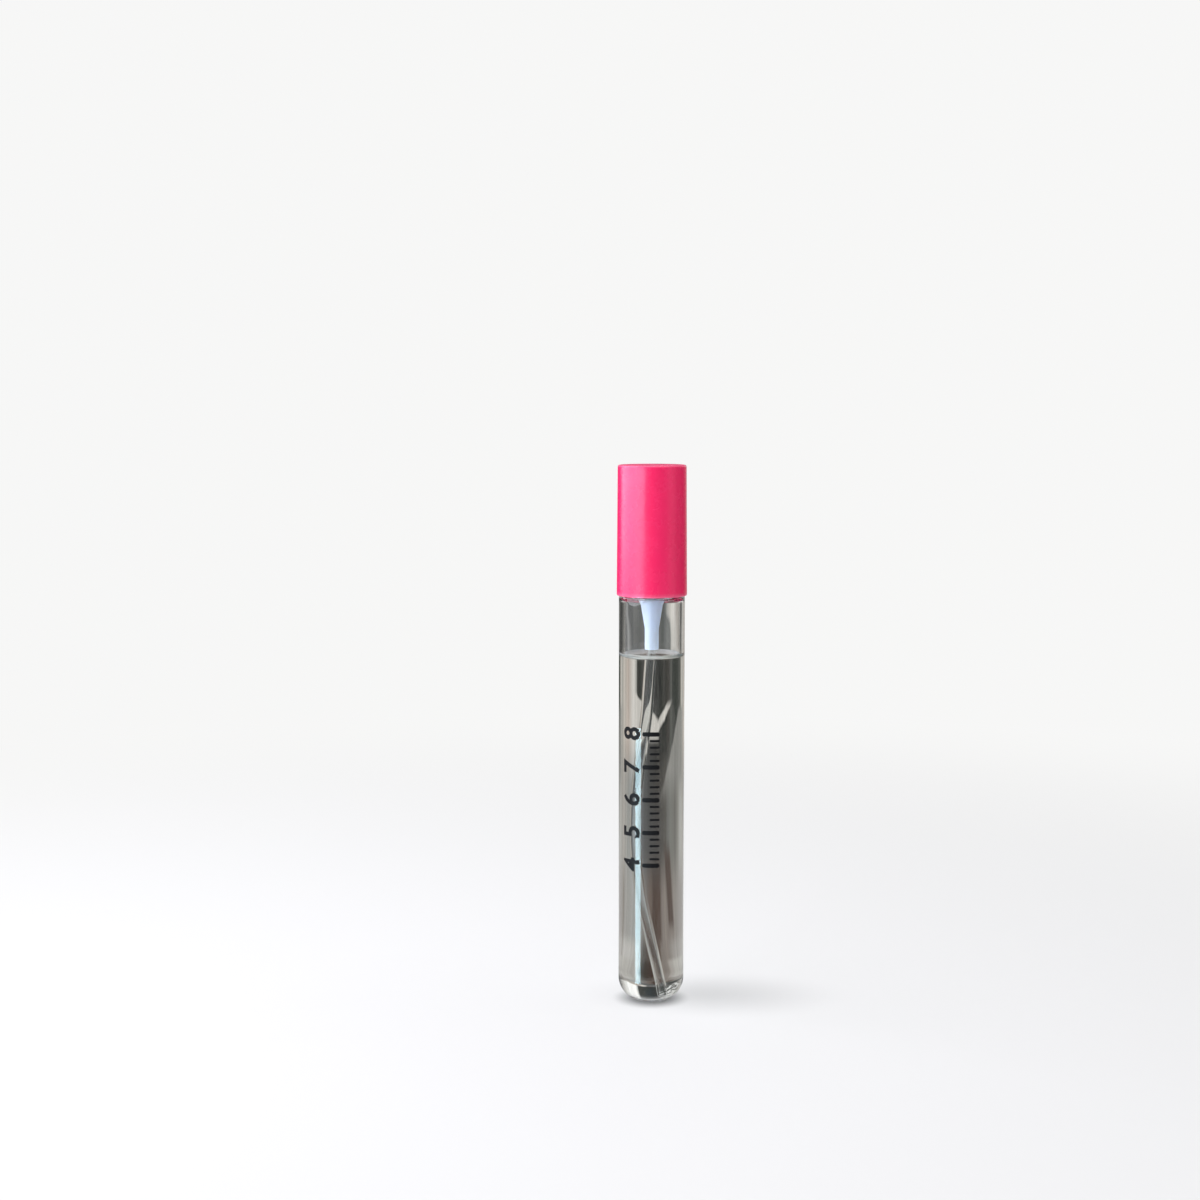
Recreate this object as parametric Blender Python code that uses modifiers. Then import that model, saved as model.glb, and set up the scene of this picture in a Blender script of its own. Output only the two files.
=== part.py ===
"""Miniature perfume bottle: a slim 10 ml glass vial with a screw-on fine mist
pump, a curled dip tube and a pull-off pink overcap.

Units are metres, +Z is up, and the origin is the centre of the vial's base.
The pump's spray head faces -Y.
"""
import math

import bmesh
import bpy
from mathutils import Vector

MM = 0.001

# ----------------------------------------------------------------- dimensions
# Glass vial
GLASS_R = 7.5            # outer radius of the tube
GLASS_IN_R = 6.5         # inner radius of the tube
BASE_T = 1.3             # thickness of the base
HEEL_R = 5.2             # rounded outer heel
HEEL_IN_R = 1.6          # rounded inner heel
SHOULDER_Z = 93.4        # where the straight wall ends outside
SHOULDER_IN_Z = 92.4     # and inside
SHOULDER_R = 1.4         # rounding of the shoulder
NECK_R = 5.0             # thread root radius of the neck
BORE_R = 3.8             # bore of the neck
MOUTH_Z = 104.8          # sealing land at the top of the neck

# Screw thread of the neck and the collar, right-handed
PITCH = 2.0
TURNS = 1.5
NECK_CREST_R = 5.65
COLLAR_CREST_R = 5.2
NECK_THREAD_Z = 98.2     # centre of the neck's ridge at its lower end
COLLAR_THREAD_Z = 97.2   # half a pitch lower, under the neck's ridge

# Liquid
LIQUID_Z = 79.6          # level
LIQUID_GAP = 0.15        # gap between the liquid's solid and the glass

# Overcap
CAP_BOTTOM_Z = 93.9
CAP_TOP_Z = 123.5
CAP_R_BOTTOM = 8.0
CAP_R_TOP = 7.8
CAP_MOUTH_R = 7.72       # the mouth is chamfered inside, to clear the shoulder of the glass
CAP_IN_R_BOTTOM = 6.9
CAP_IN_R_TOP = 6.7
CAP_CEILING_Z = 122.25

# Collar (screw closure)
COLLAR_R = 6.62
COLLAR_IN_R = 5.9
COLLAR_BOTTOM_Z = 96.3
COLLAR_TOP_Z = 107.7
COLLAR_PLATE_Z = 106.65

# Pump
HOUSING_R = 3.3
SOCKET_R = 1.6           # lower end of the housing, which holds the dip tube
SOCKET_BOTTOM_Z = 81.5
CONE_BOTTOM_Z = 86.3
CONE_TOP_Z = 96.5
PUMP_BORE_R = 2.5
STEM_R = 1.6
STEM_LOW_R = 0.95
TUBE_R = 1.0
TUBE_WALL = 0.4
BALL_R = 0.8
BALL_Z = 89.48
SPRING_R = 1.7
SPRING_WIRE_R = 0.2
SPRING_BOTTOM_Z = 94.05
SPRING_TOP_Z = 99.9
SPRING_TURNS = 6.0
HEAD_R = 4.9
NOZZLE_Z = 115.9

# Facets round each turned piece
SEG_LARGE = 40
SEG_PUMP = 28
SEG_SMALL = 20

# ---------------------------------------------------------------- clean start
for old in list(bpy.data.objects):
    bpy.data.objects.remove(old, do_unlink=True)

parts = bpy.data.collections.new("miniature_perfume_bottle")
bpy.context.scene.collection.children.link(parts)
cutters = bpy.data.collections.new("cutters")
bpy.context.scene.collection.children.link(cutters)


# -------------------------------------------------------------------- helpers
def material(name, colour, rough, metal=0.0, alpha=1.0, transmission=0.0, ior=1.5):
    m = bpy.data.materials.new(name)
    m.use_nodes = True
    b = m.node_tree.nodes["Principled BSDF"]
    b.inputs["Base Color"].default_value = (*colour, 1.0)
    b.inputs["Roughness"].default_value = rough
    b.inputs["Metallic"].default_value = metal
    b.inputs["Alpha"].default_value = alpha
    b.inputs["Transmission Weight"].default_value = transmission
    b.inputs["IOR"].default_value = ior
    return m


def empty(name, z=0.0, parent=None):
    """A joint's frame, on the vial's axis at height z (mm)."""
    e = bpy.data.objects.new(name, None)
    e.empty_display_size = 5 * MM
    parts.objects.link(e)
    e["z_mm"] = z
    if parent is not None:
        e.parent = parent
        e.location = (0, 0, (z - parent["z_mm"]) * MM)
    else:
        e.location = (0, 0, z * MM)
    return e


def arc(cx, cz, r, start, end, n):
    """Points of an arc in the profile's plane, angles in degrees."""
    out = []
    for i in range(n + 1):
        a = math.radians(start + (end - start) * i / n)
        out.append((cx + r * math.cos(a), cz + r * math.sin(a)))
    return out


def smooth(obj, angle=35):
    obj.data.shade_smooth()
    obj.data.set_sharp_from_angle(angle=math.radians(angle))


def turned(name, profile, closed, segs, mat, parent, z0=None, collection=parts):
    """A profile of (radius, height) points in mm, turned about Z with a Screw."""
    if z0 is None:
        z0 = parent["z_mm"] if parent is not None else 0.0
    mesh = bpy.data.meshes.new(name)
    bm = bmesh.new()
    verts = [bm.verts.new((r * MM, 0, (z - z0) * MM)) for r, z in profile]
    for a, b in zip(verts, verts[1:]):
        bm.edges.new((a, b))
    if closed:
        bm.edges.new((verts[-1], verts[0]))
    bm.to_mesh(mesh)
    bm.free()
    obj = bpy.data.objects.new(name, mesh)
    collection.objects.link(obj)
    if mat is not None:
        mesh.materials.append(mat)
    if parent is not None:
        obj.parent = parent
        obj.location = (0, 0, (z0 - parent["z_mm"]) * MM)
    else:
        obj.location = (0, 0, z0 * MM)
    s = obj.modifiers.new("turn", "SCREW")
    s.axis = "Z"
    s.angle = math.tau
    s.steps = segs
    s.render_steps = segs
    s.use_merge_vertices = True
    s.merge_threshold = 0.000002
    s.use_smooth_shade = True
    return obj


def cutter(obj):
    obj.hide_render = True
    obj.display_type = "WIRE"


def boolean(obj, other, operation):
    b = obj.modifiers.new(operation.lower(), "BOOLEAN")
    b.operation = operation
    b.solver = "EXACT"
    b.object = other
    return b


def ridge(name, root_r, crest_r, embed_r, root_w, crest_w, z_start, z0, parent):
    """One closed helical thread ridge, lofted from trapezoids that run out
    to nothing at both ends."""
    steps = int(round(TURNS * 24))
    mesh = bpy.data.meshes.new(name)
    bm = bmesh.new()
    rings = []
    for i in range(steps + 1):
        turn = i / 24
        a = math.tau * turn
        run = min(1.0, i / 3, (steps - i) / 3)
        crest = root_r + (crest_r - root_r) * (0.12 + 0.88 * run)
        half_root = root_w / 2 * (0.6 + 0.4 * run)
        half_crest = crest_w / 2
        z = z_start + PITCH * turn
        section = [(embed_r, z - half_root), (root_r, z - half_root), (crest, z - half_crest),
                   (crest, z + half_crest), (root_r, z + half_root), (embed_r, z + half_root)]
        rings.append([bm.verts.new((r * math.cos(a) * MM, r * math.sin(a) * MM, (h - z0) * MM)) for r, h in section])
    for a, b in zip(rings, rings[1:]):
        for i in range(len(a)):
            j = (i + 1) % len(a)
            bm.faces.new((a[i], a[j], b[j], b[i]))
    bm.faces.new(list(reversed(rings[0])))
    bm.faces.new(rings[-1])
    bmesh.ops.triangulate(bm, faces=bm.faces[:])
    bmesh.ops.recalc_face_normals(bm, faces=bm.faces[:])
    bm.to_mesh(mesh)
    bm.free()
    obj = bpy.data.objects.new(name, mesh)
    cutters.objects.link(obj)
    obj.parent = parent
    obj.location = (0, 0, (z0 - parent["z_mm"]) * MM)
    cutter(obj)
    return obj


def round_cutter(name, r, length, centre, axis, segs=16):
    """A cylinder to cut with, centred at centre (mm), along axis."""
    bpy.ops.mesh.primitive_cylinder_add(vertices=segs, radius=r * MM, depth=length * MM,
                                        location=[c * MM for c in centre])
    obj = bpy.context.active_object
    obj.name = name
    obj.rotation_euler = Vector((0, 0, 1)).rotation_difference(Vector(axis)).to_euler()
    for c in list(obj.users_collection):
        c.objects.unlink(obj)
    cutters.objects.link(obj)
    cutter(obj)
    return obj


def smooth_path(points, spacing):
    """Points about spacing mm apart on a smooth curve through the given ones."""
    pts = [Vector(p) for p in points]
    ext = [2 * pts[0] - pts[1]] + pts + [2 * pts[-1] - pts[-2]]
    fine = []
    for i in range(1, len(ext) - 2):
        p0, p1, p2, p3 = ext[i - 1:i + 3]
        for k in range(24):
            t = k / 24
            fine.append(0.5 * ((2 * p1) + (p2 - p0) * t + (2 * p0 - 5 * p1 + 4 * p2 - p3) * t * t
                               + (3 * p1 - p0 - 3 * p2 + p3) * t ** 3))
    fine.append(pts[-1])
    total = sum((b - a).length for a, b in zip(fine, fine[1:]))
    n = max(2, int(round(total / spacing)))
    out, walked, k = [fine[0]], 0.0, 1
    for a, b in zip(fine, fine[1:]):
        step = (b - a).length
        while k < n and walked + step >= total * k / n:
            out.append(a.lerp(b, (total * k / n - walked) / step))
            k += 1
        walked += step
    out.append(fine[-1])
    return out


def tube_mesh(name, points, r, caps, resolution):
    """A round tube along points (mm), as a mesh, from a bevelled POLY curve."""
    curve = bpy.data.curves.new(name + "_curve", "CURVE")
    curve.dimensions = "3D"
    curve.bevel_depth = r * MM
    curve.bevel_resolution = resolution
    curve.use_fill_caps = caps
    spline = curve.splines.new("POLY")
    spline.points.add(len(points) - 1)
    for p, q in zip(spline.points, points):
        p.co = (q[0] * MM, q[1] * MM, q[2] * MM, 1)
    temp = bpy.data.objects.new(name + "_curve", curve)
    parts.objects.link(temp)
    bpy.context.view_layer.update()
    deps = bpy.context.evaluated_depsgraph_get()
    mesh = bpy.data.meshes.new_from_object(temp.evaluated_get(deps))
    bpy.data.objects.remove(temp, do_unlink=True)
    mesh.name = name
    bm = bmesh.new()
    bm.from_mesh(mesh)
    bmesh.ops.remove_doubles(bm, verts=bm.verts[:], dist=0.000001)
    bmesh.ops.recalc_face_normals(bm, faces=bm.faces[:])
    bm.to_mesh(mesh)
    bm.free()
    return mesh


# ------------------------------------------------------------------ materials
GLASS = material("clear_glass", (0.96, 0.98, 0.97), 0.02, alpha=0.3, transmission=1.0, ior=1.5)
LIQUID = material("perfume_liquid", (0.97, 0.97, 0.95), 0.02, alpha=0.35, transmission=1.0, ior=1.36)
PINK = material("pink_plastic", (0.86, 0.012, 0.115), 0.3)
WHITE = material("white_plastic", (0.82, 0.84, 0.86), 0.35)
MILKY = material("milky_plastic", (0.70, 0.78, 0.92), 0.4)
CLEAR = material("clear_tube_plastic", (0.90, 0.92, 0.93), 0.15, alpha=0.5, transmission=0.8)
STEEL = material("steel", (0.60, 0.60, 0.62), 0.25, metal=1.0)
SEAL = material("seal_grey", (0.55, 0.57, 0.58), 0.6)

# --------------------------------------------------------------- joint frames
VIAL = empty("vial_frame", 0.0)
PUMP = empty("pump_frame", MOUTH_Z, VIAL)
COLLAR = empty("collar_frame", COLLAR_BOTTOM_Z, PUMP)
CAP = empty("cap_frame", CAP_BOTTOM_Z, COLLAR)
PLUNGER = empty("plunger_frame", 103.9, PUMP)
HEAD = empty("spray_head_frame", 111.2, PLUNGER)
BALL = empty("ball_frame", BALL_Z, PUMP)

# ----------------------------------------------------------------- glass vial
vial_profile = [(0, BASE_T)]
vial_profile += arc(GLASS_IN_R - HEEL_IN_R, BASE_T + HEEL_IN_R, HEEL_IN_R, -90, 0, 5)
vial_profile += arc(GLASS_IN_R - SHOULDER_R, SHOULDER_IN_Z, SHOULDER_R, 0, 80, 4)
vial_profile += [(4.1, SHOULDER_IN_Z + 1.6), (BORE_R, SHOULDER_IN_Z + 2.1), (BORE_R, MOUTH_Z - 0.3), (4.1, MOUTH_Z),
                 (4.75, MOUTH_Z), (NECK_R, MOUTH_Z - 0.25), (NECK_R, SHOULDER_Z + 1.85), (5.15, SHOULDER_Z + 1.58),
                 (5.4, SHOULDER_Z + 1.44)]
vial_profile += arc(GLASS_R - SHOULDER_R, SHOULDER_Z, SHOULDER_R, 80, 0, 5)
vial_profile += arc(GLASS_R - HEEL_R, HEEL_R, HEEL_R, 0, -90, 6)
vial_profile += [(0, 0)]
vial = turned("vial", vial_profile, False, SEG_LARGE, GLASS, VIAL)
boolean(vial, ridge("neck_thread_form", NECK_R, NECK_CREST_R, 4.6, 1.1, 0.45, NECK_THREAD_Z, 0.0, VIAL), "UNION")
smooth(vial)

# ------------------------------------------------------------------- dip tube
# The tube curls a little, as cut from a coil: it bows to -X on its way down,
# and its tip leans to +X and to the front, near the corner of the base.
tube_route = [(0, 0, 85.9), (-0.05, 0, 81.5), (-0.27, 0.05, 78), (-0.8, 0.2, 67.5), (-1.27, 0.3, 62),
              (-2.2, 0.4, 52), (-2.7, 0.3, 43), (-2.6, 0.0, 34), (-1.8, -0.7, 25), (-0.74, -1.4, 18.4),
              (0.4, -2.2, 12.1), (1.65, -3.1, 5.8), (2.4, -3.5, 2.3)]
tube_points = smooth_path(tube_route, 4.5)
tube = bpy.data.objects.new("dip_tube", tube_mesh("dip_tube", tube_points, TUBE_R, False, 3))
parts.objects.link(tube)
tube.data.materials.append(CLEAR)
for v in tube.data.vertices:
    v.co.z -= PUMP["z_mm"] * MM
tube.parent = PUMP
wall = tube.modifiers.new("wall", "SOLIDIFY")
wall.thickness = TUBE_WALL * MM
wall.offset = -1
wall.use_even_offset = True
wall.use_rim = True
smooth(tube)

# --------------------------------------------------------------------- liquid
lr = GLASS_IN_R - LIQUID_GAP
lb = BASE_T + LIQUID_GAP
lh = HEEL_IN_R - LIQUID_GAP
perfume_profile = [(0, LIQUID_Z), (lr, LIQUID_Z)]
perfume_profile += arc(lr - lh, lb + lh, lh, 0, -90, 5)
perfume_profile += [(0, lb)]
perfume = turned("perfume", perfume_profile, False, SEG_LARGE, LIQUID, VIAL)
lean = (tube_points[-1] - tube_points[-2]).normalized()
channel_points = [p for p in tube_points if p.z < LIQUID_Z + 4] + [tube_points[-1] + lean * 0.35]
channel = bpy.data.objects.new("tube_channel", tube_mesh("tube_channel", channel_points, TUBE_R + 0.25, True, 3))
cutters.objects.link(channel)
cutter(channel)
boolean(perfume, channel, "DIFFERENCE")
smooth(perfume)

# --------------------------------------------------------------------- collar
collar_profile = [(4.25, COLLAR_TOP_Z), (6.2, COLLAR_TOP_Z), (6.5, COLLAR_TOP_Z - 0.12),
                  (COLLAR_R, COLLAR_TOP_Z - 0.4), (COLLAR_R, COLLAR_BOTTOM_Z + 0.2), (6.5, COLLAR_BOTTOM_Z),
                  (6.05, COLLAR_BOTTOM_Z), (COLLAR_IN_R, COLLAR_BOTTOM_Z + 0.15),
                  (COLLAR_IN_R, COLLAR_PLATE_Z), (4.15, COLLAR_PLATE_Z), (4.15, COLLAR_TOP_Z - 0.1)]
collar = turned("collar", collar_profile, True, SEG_LARGE, WHITE, COLLAR)
boolean(collar, ridge("collar_thread_form", COLLAR_IN_R, COLLAR_CREST_R, 6.25, 1.0, 0.4,
                      COLLAR_THREAD_Z, COLLAR_BOTTOM_Z, COLLAR), "UNION")
smooth(collar)

# -------------------------------------------------------------------- overcap
cap_profile = [(0, CAP_TOP_Z), (CAP_R_TOP - 0.45, CAP_TOP_Z), (CAP_R_TOP - 0.12, CAP_TOP_Z - 0.12),
               (CAP_R_TOP, CAP_TOP_Z - 0.42), (CAP_R_BOTTOM, CAP_BOTTOM_Z + 0.3), (7.93, CAP_BOTTOM_Z + 0.07),
               (7.82, CAP_BOTTOM_Z), (CAP_MOUTH_R, CAP_BOTTOM_Z + 0.02), (CAP_IN_R_BOTTOM, CAP_BOTTOM_Z + 1.7),
               (CAP_IN_R_TOP, CAP_CEILING_Z - 0.3), (6.4, CAP_CEILING_Z), (0, CAP_CEILING_Z)]
overcap = turned("overcap", cap_profile, False, SEG_LARGE, PINK, CAP)
smooth(overcap)

# --------------------------------------------------------------- pump housing
housing_profile = [(2.62, 106.5), (4.75, 106.5), (4.9, 106.35), (4.9, 105.6), (3.4, 105.6),
                   (HOUSING_R, 105.45), (HOUSING_R, CONE_TOP_Z), (SOCKET_R, CONE_BOTTOM_Z),
                   (SOCKET_R, SOCKET_BOTTOM_Z + 0.15), (1.5, SOCKET_BOTTOM_Z), (1.15, SOCKET_BOTTOM_Z),
                   (1.08, SOCKET_BOTTOM_Z + 0.15), (1.08, 86.2), (0.5, 86.25), (0.5, 88.7), (1.15, 89.35),
                   (1.15, 90.3), (0.72, 90.6), (0.72, 90.8), (1.3, 91.3), (1.3, 93.7), (2.1, 93.7),
                   (2.1, 96.5), (PUMP_BORE_R, 97.1), (PUMP_BORE_R, 106.2)]
housing = turned("pump_housing", housing_profile, True, SEG_PUMP, MILKY, PUMP)
smooth(housing)

# ---------------------------------------------------------------- neck gasket
gasket = turned("neck_gasket", [(3.5, 105.5), (4.95, 105.5), (4.95, 104.9), (3.5, 104.9)], True,
                SEG_PUMP, SEAL, PUMP)
smooth(gasket)

# --------------------------------------------------------------------- turret
turret_profile = [(1.75, 108.5), (3.6, 108.5), (3.9, 108.38), (4.0, 108.1), (4.0, 106.6), (2.42, 106.6),
                  (2.42, 104.2), (2.3, 104.1), (1.75, 104.1)]
turret = turned("turret", turret_profile, True, SEG_PUMP, WHITE, PUMP)
smooth(turret)

# ----------------------------------------------------------------- check ball
bpy.ops.mesh.primitive_uv_sphere_add(segments=16, ring_count=10, radius=BALL_R * MM)
ball = bpy.context.active_object
ball.name = "check_ball"
for c in list(ball.users_collection):
    c.objects.unlink(ball)
parts.objects.link(ball)
ball.parent = BALL
ball.data.materials.append(STEEL)
ball.data.shade_smooth()

# -------------------------------------------------------------- return spring
coil = []
coil_steps = int(SPRING_TURNS * 12)
for i in range(coil_steps + 1):
    t = i / coil_steps
    turn = SPRING_TURNS * t
    # the first and last turns lie flatter, as closed ends
    ease = t + 0.055 * math.sin(math.tau * t) * -1
    coil.append((SPRING_R * math.cos(math.tau * turn), SPRING_R * math.sin(math.tau * turn),
                 SPRING_BOTTOM_Z + (SPRING_TOP_Z - SPRING_BOTTOM_Z) * ease))
spring = bpy.data.objects.new("return_spring", tube_mesh("return_spring", coil, SPRING_WIRE_R, True, 2))
parts.objects.link(spring)
spring.data.materials.append(STEEL)
for v in spring.data.vertices:
    v.co.z -= PUMP["z_mm"] * MM
spring.parent = PUMP
smooth(spring)

# --------------------------------------------------------------- pump plunger
stem_profile = [(0, 102.3), (0.55, 102.3), (0.55, 113.7), (1.45, 113.7), (STEM_R, 113.55),
                (STEM_R, 104.15), (STEM_LOW_R, 103.95), (STEM_LOW_R, 99.4), (0.85, 99.25), (0, 99.25)]
stem = turned("stem", stem_profile, False, SEG_SMALL, WHITE, PLUNGER)
boolean(stem, round_cutter("stem_port", 0.25, 3.0, (0, 0, 102.8), (1, 0, 0), 12), "DIFFERENCE")
smooth(stem)

piston_profile = [(1.02, 103.6), (1.5, 103.6), (2.2, 103.75), (2.42, 103.7), (2.42, 103.4),
                  (1.95, 102.9), (1.95, 102.0), (2.42, 101.55), (2.42, 101.25), (2.2, 101.2), (1.02, 101.2)]
piston = turned("piston", piston_profile, True, SEG_PUMP, MILKY, PLUNGER)
smooth(piston)

seat_profile = [(1.02, 101.05), (1.95, 101.05), (2.05, 100.95), (2.05, 100.25), (1.32, 100.25),
                (1.32, 99.5), (1.02, 99.5)]
seat = turned("piston_seat", seat_profile, True, SEG_SMALL, WHITE, PLUNGER)
smooth(seat)

# ----------------------------------------------------------------- spray head
head_profile = [(0, 117.35), (2.4, 117.42), (3.6, 117.66), (4.3, 117.8), (4.7, 117.72), (HEAD_R, 117.45),
                (HEAD_R, 111.35), (4.8, 111.2), (4.3, 111.2), (4.2, 111.3), (4.2, 113.9), (2.5, 113.9),
                (2.5, 112.05), (2.4, 111.9), (1.75, 111.9), (1.66, 112.05), (1.66, 113.9), (0.5, 113.9),
                (0.5, 116.2), (0, 116.2)]
actuator = turned("actuator", head_profile, False, SEG_PUMP, WHITE, HEAD)
boolean(actuator, round_cutter("nozzle_pocket", 1.35, 2.4, (0, -4.5, NOZZLE_Z), (0, 1, 0), 20), "DIFFERENCE")
boolean(actuator, round_cutter("spray_channel", 0.35, 4.0, (0, -2.1, NOZZLE_Z), (0, 1, 0), 10), "DIFFERENCE")
smooth(actuator)

nozzle_profile = [(0.15, 1.3), (0.95, 1.3), (1.25, 1.15), (1.25, 0.0), (0.8, 0.0), (0.8, 0.9), (0.15, 0.9)]
nozzle = turned("nozzle_insert", nozzle_profile, True, 16, WHITE, None, z0=0.0)
nozzle.parent = HEAD
nozzle.location = (0, -3.4 * MM, (NOZZLE_Z - HEAD["z_mm"]) * MM)
nozzle.rotation_euler = (math.radians(90), 0, 0)
smooth(nozzle)
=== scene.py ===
import math

import bmesh
import bpy
import numpy as np
from mathutils import Matrix, Vector


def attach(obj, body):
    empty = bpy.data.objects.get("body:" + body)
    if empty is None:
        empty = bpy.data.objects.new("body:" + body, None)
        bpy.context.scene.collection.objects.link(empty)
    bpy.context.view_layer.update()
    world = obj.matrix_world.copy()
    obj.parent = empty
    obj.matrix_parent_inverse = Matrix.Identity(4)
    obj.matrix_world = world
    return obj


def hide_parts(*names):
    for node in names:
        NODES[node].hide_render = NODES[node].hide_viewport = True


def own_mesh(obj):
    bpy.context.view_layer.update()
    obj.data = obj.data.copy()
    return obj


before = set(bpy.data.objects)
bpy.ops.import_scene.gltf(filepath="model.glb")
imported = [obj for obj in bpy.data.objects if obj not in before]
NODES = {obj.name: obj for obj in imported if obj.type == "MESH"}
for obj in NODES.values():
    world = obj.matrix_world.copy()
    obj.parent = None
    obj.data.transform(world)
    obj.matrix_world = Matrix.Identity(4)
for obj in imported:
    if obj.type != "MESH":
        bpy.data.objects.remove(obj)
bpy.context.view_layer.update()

MM = 0.001
scene = bpy.context.scene

# ---------------------------------------------------------------- sizes, in mm, as the CAD has them
GLASS_R, GLASS_IN_R = 7.5, 6.5
LIQUID_Z, CLIMB = 79.35, 1.45         # lowest part of the free surface, and how far it climbs the wall
TUBE_CLIMB = 0.5                      # and the tube
NECK_R, NECK_CREST_R = 5.0, 5.65
COLLAR_IN_R, COLLAR_CREST_R = 5.9, 5.2
PITCH, TURNS = 2.0, 1.5
NECK_THREAD_Z, COLLAR_THREAD_Z = 98.2, 97.2
TUBE_R, TUBE_IN_R = 1.0, 0.6
TUBE_ROUTE = ((0, 0, 85.9), (-0.05, 0, 81.5), (-0.27, 0.05, 78), (-0.8, 0.2, 67.5), (-1.27, 0.3, 62), (-2.2, 0.4, 52),
              (-2.7, 0.3, 43), (-2.6, 0, 34), (-1.8, -0.7, 25), (-0.74, -1.4, 18.4), (0.4, -2.2, 12.1), (1.65, -3.1, 5.8), (2.4, -3.5, 2.3))
NOZZLE_Z = 115.9
IOR_GLASS, IOR_LIQUID, IOR_TUBE = 1.50, 1.36, 1.51


# ---------------------------------------------------------------- mesh helpers
def arc(cr, cz, radius, start, end, steps):
    """Points on an arc in the (r, z) half plane, angles in degrees from +r towards +z."""
    return [
        (cr + radius * math.cos(math.radians(start + (end - start) * i / steps)),
         cz + radius * math.sin(math.radians(start + (end - start) * i / steps)))
        for i in range(steps + 1)
    ]


def filleted(points, steps=5, closed=True):
    """points are (r, z) or (r, z, fillet radius): rounds those corners that have a radius."""
    out = []
    n = len(points)
    for i, p in enumerate(points):
        radius = p[2] if len(p) > 2 else 0.0
        if radius <= 0 or (not closed and i in (0, n - 1)):
            out.append((p[0], p[1]))
            continue
        a, b, c = (np.array(points[(i + k) % n][:2], float) for k in (-1, 0, 1))
        u, v = a - b, c - b
        lu, lv = np.linalg.norm(u), np.linalg.norm(v)
        u, v = u / lu, v / lv
        cosine = float(np.clip(u @ v, -1, 1))
        half = math.acos(cosine) / 2
        reach = min(radius / math.tan(half), 0.49 * lu, 0.49 * lv)
        rad = reach * math.tan(half)
        centre = b + (u + v) / np.linalg.norm(u + v) * (rad / math.sin(half))
        p0, p1 = b + u * reach, b + v * reach
        a0 = math.atan2(*(p0 - centre)[::-1])
        a1 = math.atan2(*(p1 - centre)[::-1])
        turn = (a1 - a0 + math.pi) % (2 * math.pi) - math.pi
        for k in range(steps + 1):
            t = a0 + turn * k / steps
            out.append((centre[0] + rad * math.cos(t), centre[1] + rad * math.sin(t)))
    return out


def even(points, longest, closed=False):
    """Splits the runs of a profile that are longer than `longest`."""
    out = []
    n = len(points)
    for i in range(n if closed else n - 1):
        a, b = points[i], points[(i + 1) % n]
        k = max(1, math.ceil(math.dist(a, b) / longest))
        out += [(a[0] + (b[0] - a[0]) * j / k, a[1] + (b[1] - a[1]) * j / k) for j in range(k)]
    if not closed:
        out.append(tuple(points[-1]))
    return out


def finish_mesh(name, verts, faces, slots=None, sharp=32.0):
    """Makes the object, in metres, with outward normals, smooth shading and sharp corners."""
    mesh = bpy.data.meshes.new(name)
    mesh.from_pydata([tuple(float(c) * MM for c in v) for v in verts], [], [tuple(f) for f in faces])
    if slots is not None:
        mesh.polygons.foreach_set("material_index", np.asarray(slots, np.int32))
    bm = bmesh.new()
    bm.from_mesh(mesh)
    bmesh.ops.recalc_face_normals(bm, faces=bm.faces)
    bm.to_mesh(mesh)
    bm.free()
    mesh.polygons.foreach_set("use_smooth", np.ones(len(mesh.polygons), bool))
    mesh.set_sharp_from_angle(angle=math.radians(sharp))
    mesh.update()
    obj = bpy.data.objects.new(name, mesh)
    scene.collection.objects.link(obj)
    return obj


def turned(name, profile, segments=96, tag=None, radius_at=None, sharp=32.0, make=True):
    """A turned body about Z. The profile is (r, z) pairs; where it begins and ends on the axis it closes there, otherwise it
    closes on itself. tag(r, z) of a run's middle gives the material slot. radius_at(r, z, angle) may move a point in or out."""
    verts, faces, slots, rings = [], [], [], []
    angles = np.linspace(0, 2 * math.pi, segments, endpoint=False)
    loop = not (profile[0][0] < 1e-9 and profile[-1][0] < 1e-9)
    for r, z in profile:
        if r < 1e-9:
            rings.append([len(verts)])
            verts.append((0.0, 0.0, z))
            continue
        ring = []
        for t in angles:
            rr, zz = (r, z) if radius_at is None else radius_at(r, z, t)
            ring.append(len(verts))
            verts.append((rr * math.cos(t), rr * math.sin(t), zz))
        rings.append(ring)
    count = len(profile)
    for i in range(count if loop else count - 1):
        a, b = rings[i], rings[(i + 1) % count]
        pa, pb = profile[i], profile[(i + 1) % count]
        slot = tag((pa[0] + pb[0]) / 2, (pa[1] + pb[1]) / 2) if tag else 0
        for k in range(segments):
            n = (k + 1) % segments
            if len(a) == 1 and len(b) == 1:
                continue
            if len(a) == 1:
                faces.append((a[0], b[k], b[n]))
            elif len(b) == 1:
                faces.append((a[k], b[0], a[n]))
            else:
                faces.append((a[k], b[k], b[n], a[n]))
            slots.append(slot)
    if not make:
        return verts, faces, slots
    return finish_mesh(name, verts, faces, slots, sharp)


def helix_height(z, angle, z0, root, crest):
    """0 to 1: how much of the thread ridge stands at this height and angle."""
    best = 0.0
    for k in range(int(TURNS) + 2):
        t = angle / (2 * math.pi) + k
        if not -0.001 <= t <= TURNS + 0.001:
            continue
        d = abs(z - (z0 + PITCH * t))
        f = min(1.0, max(0.0, (root / 2 - d) / ((root - crest) / 2)))
        f = f * f * (3 - 2 * f)
        fade = min(1.0, t / 0.06 + 0.02, (TURNS - t) / 0.06 + 0.02)
        best = max(best, f * max(0.0, fade))
    return best


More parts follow.
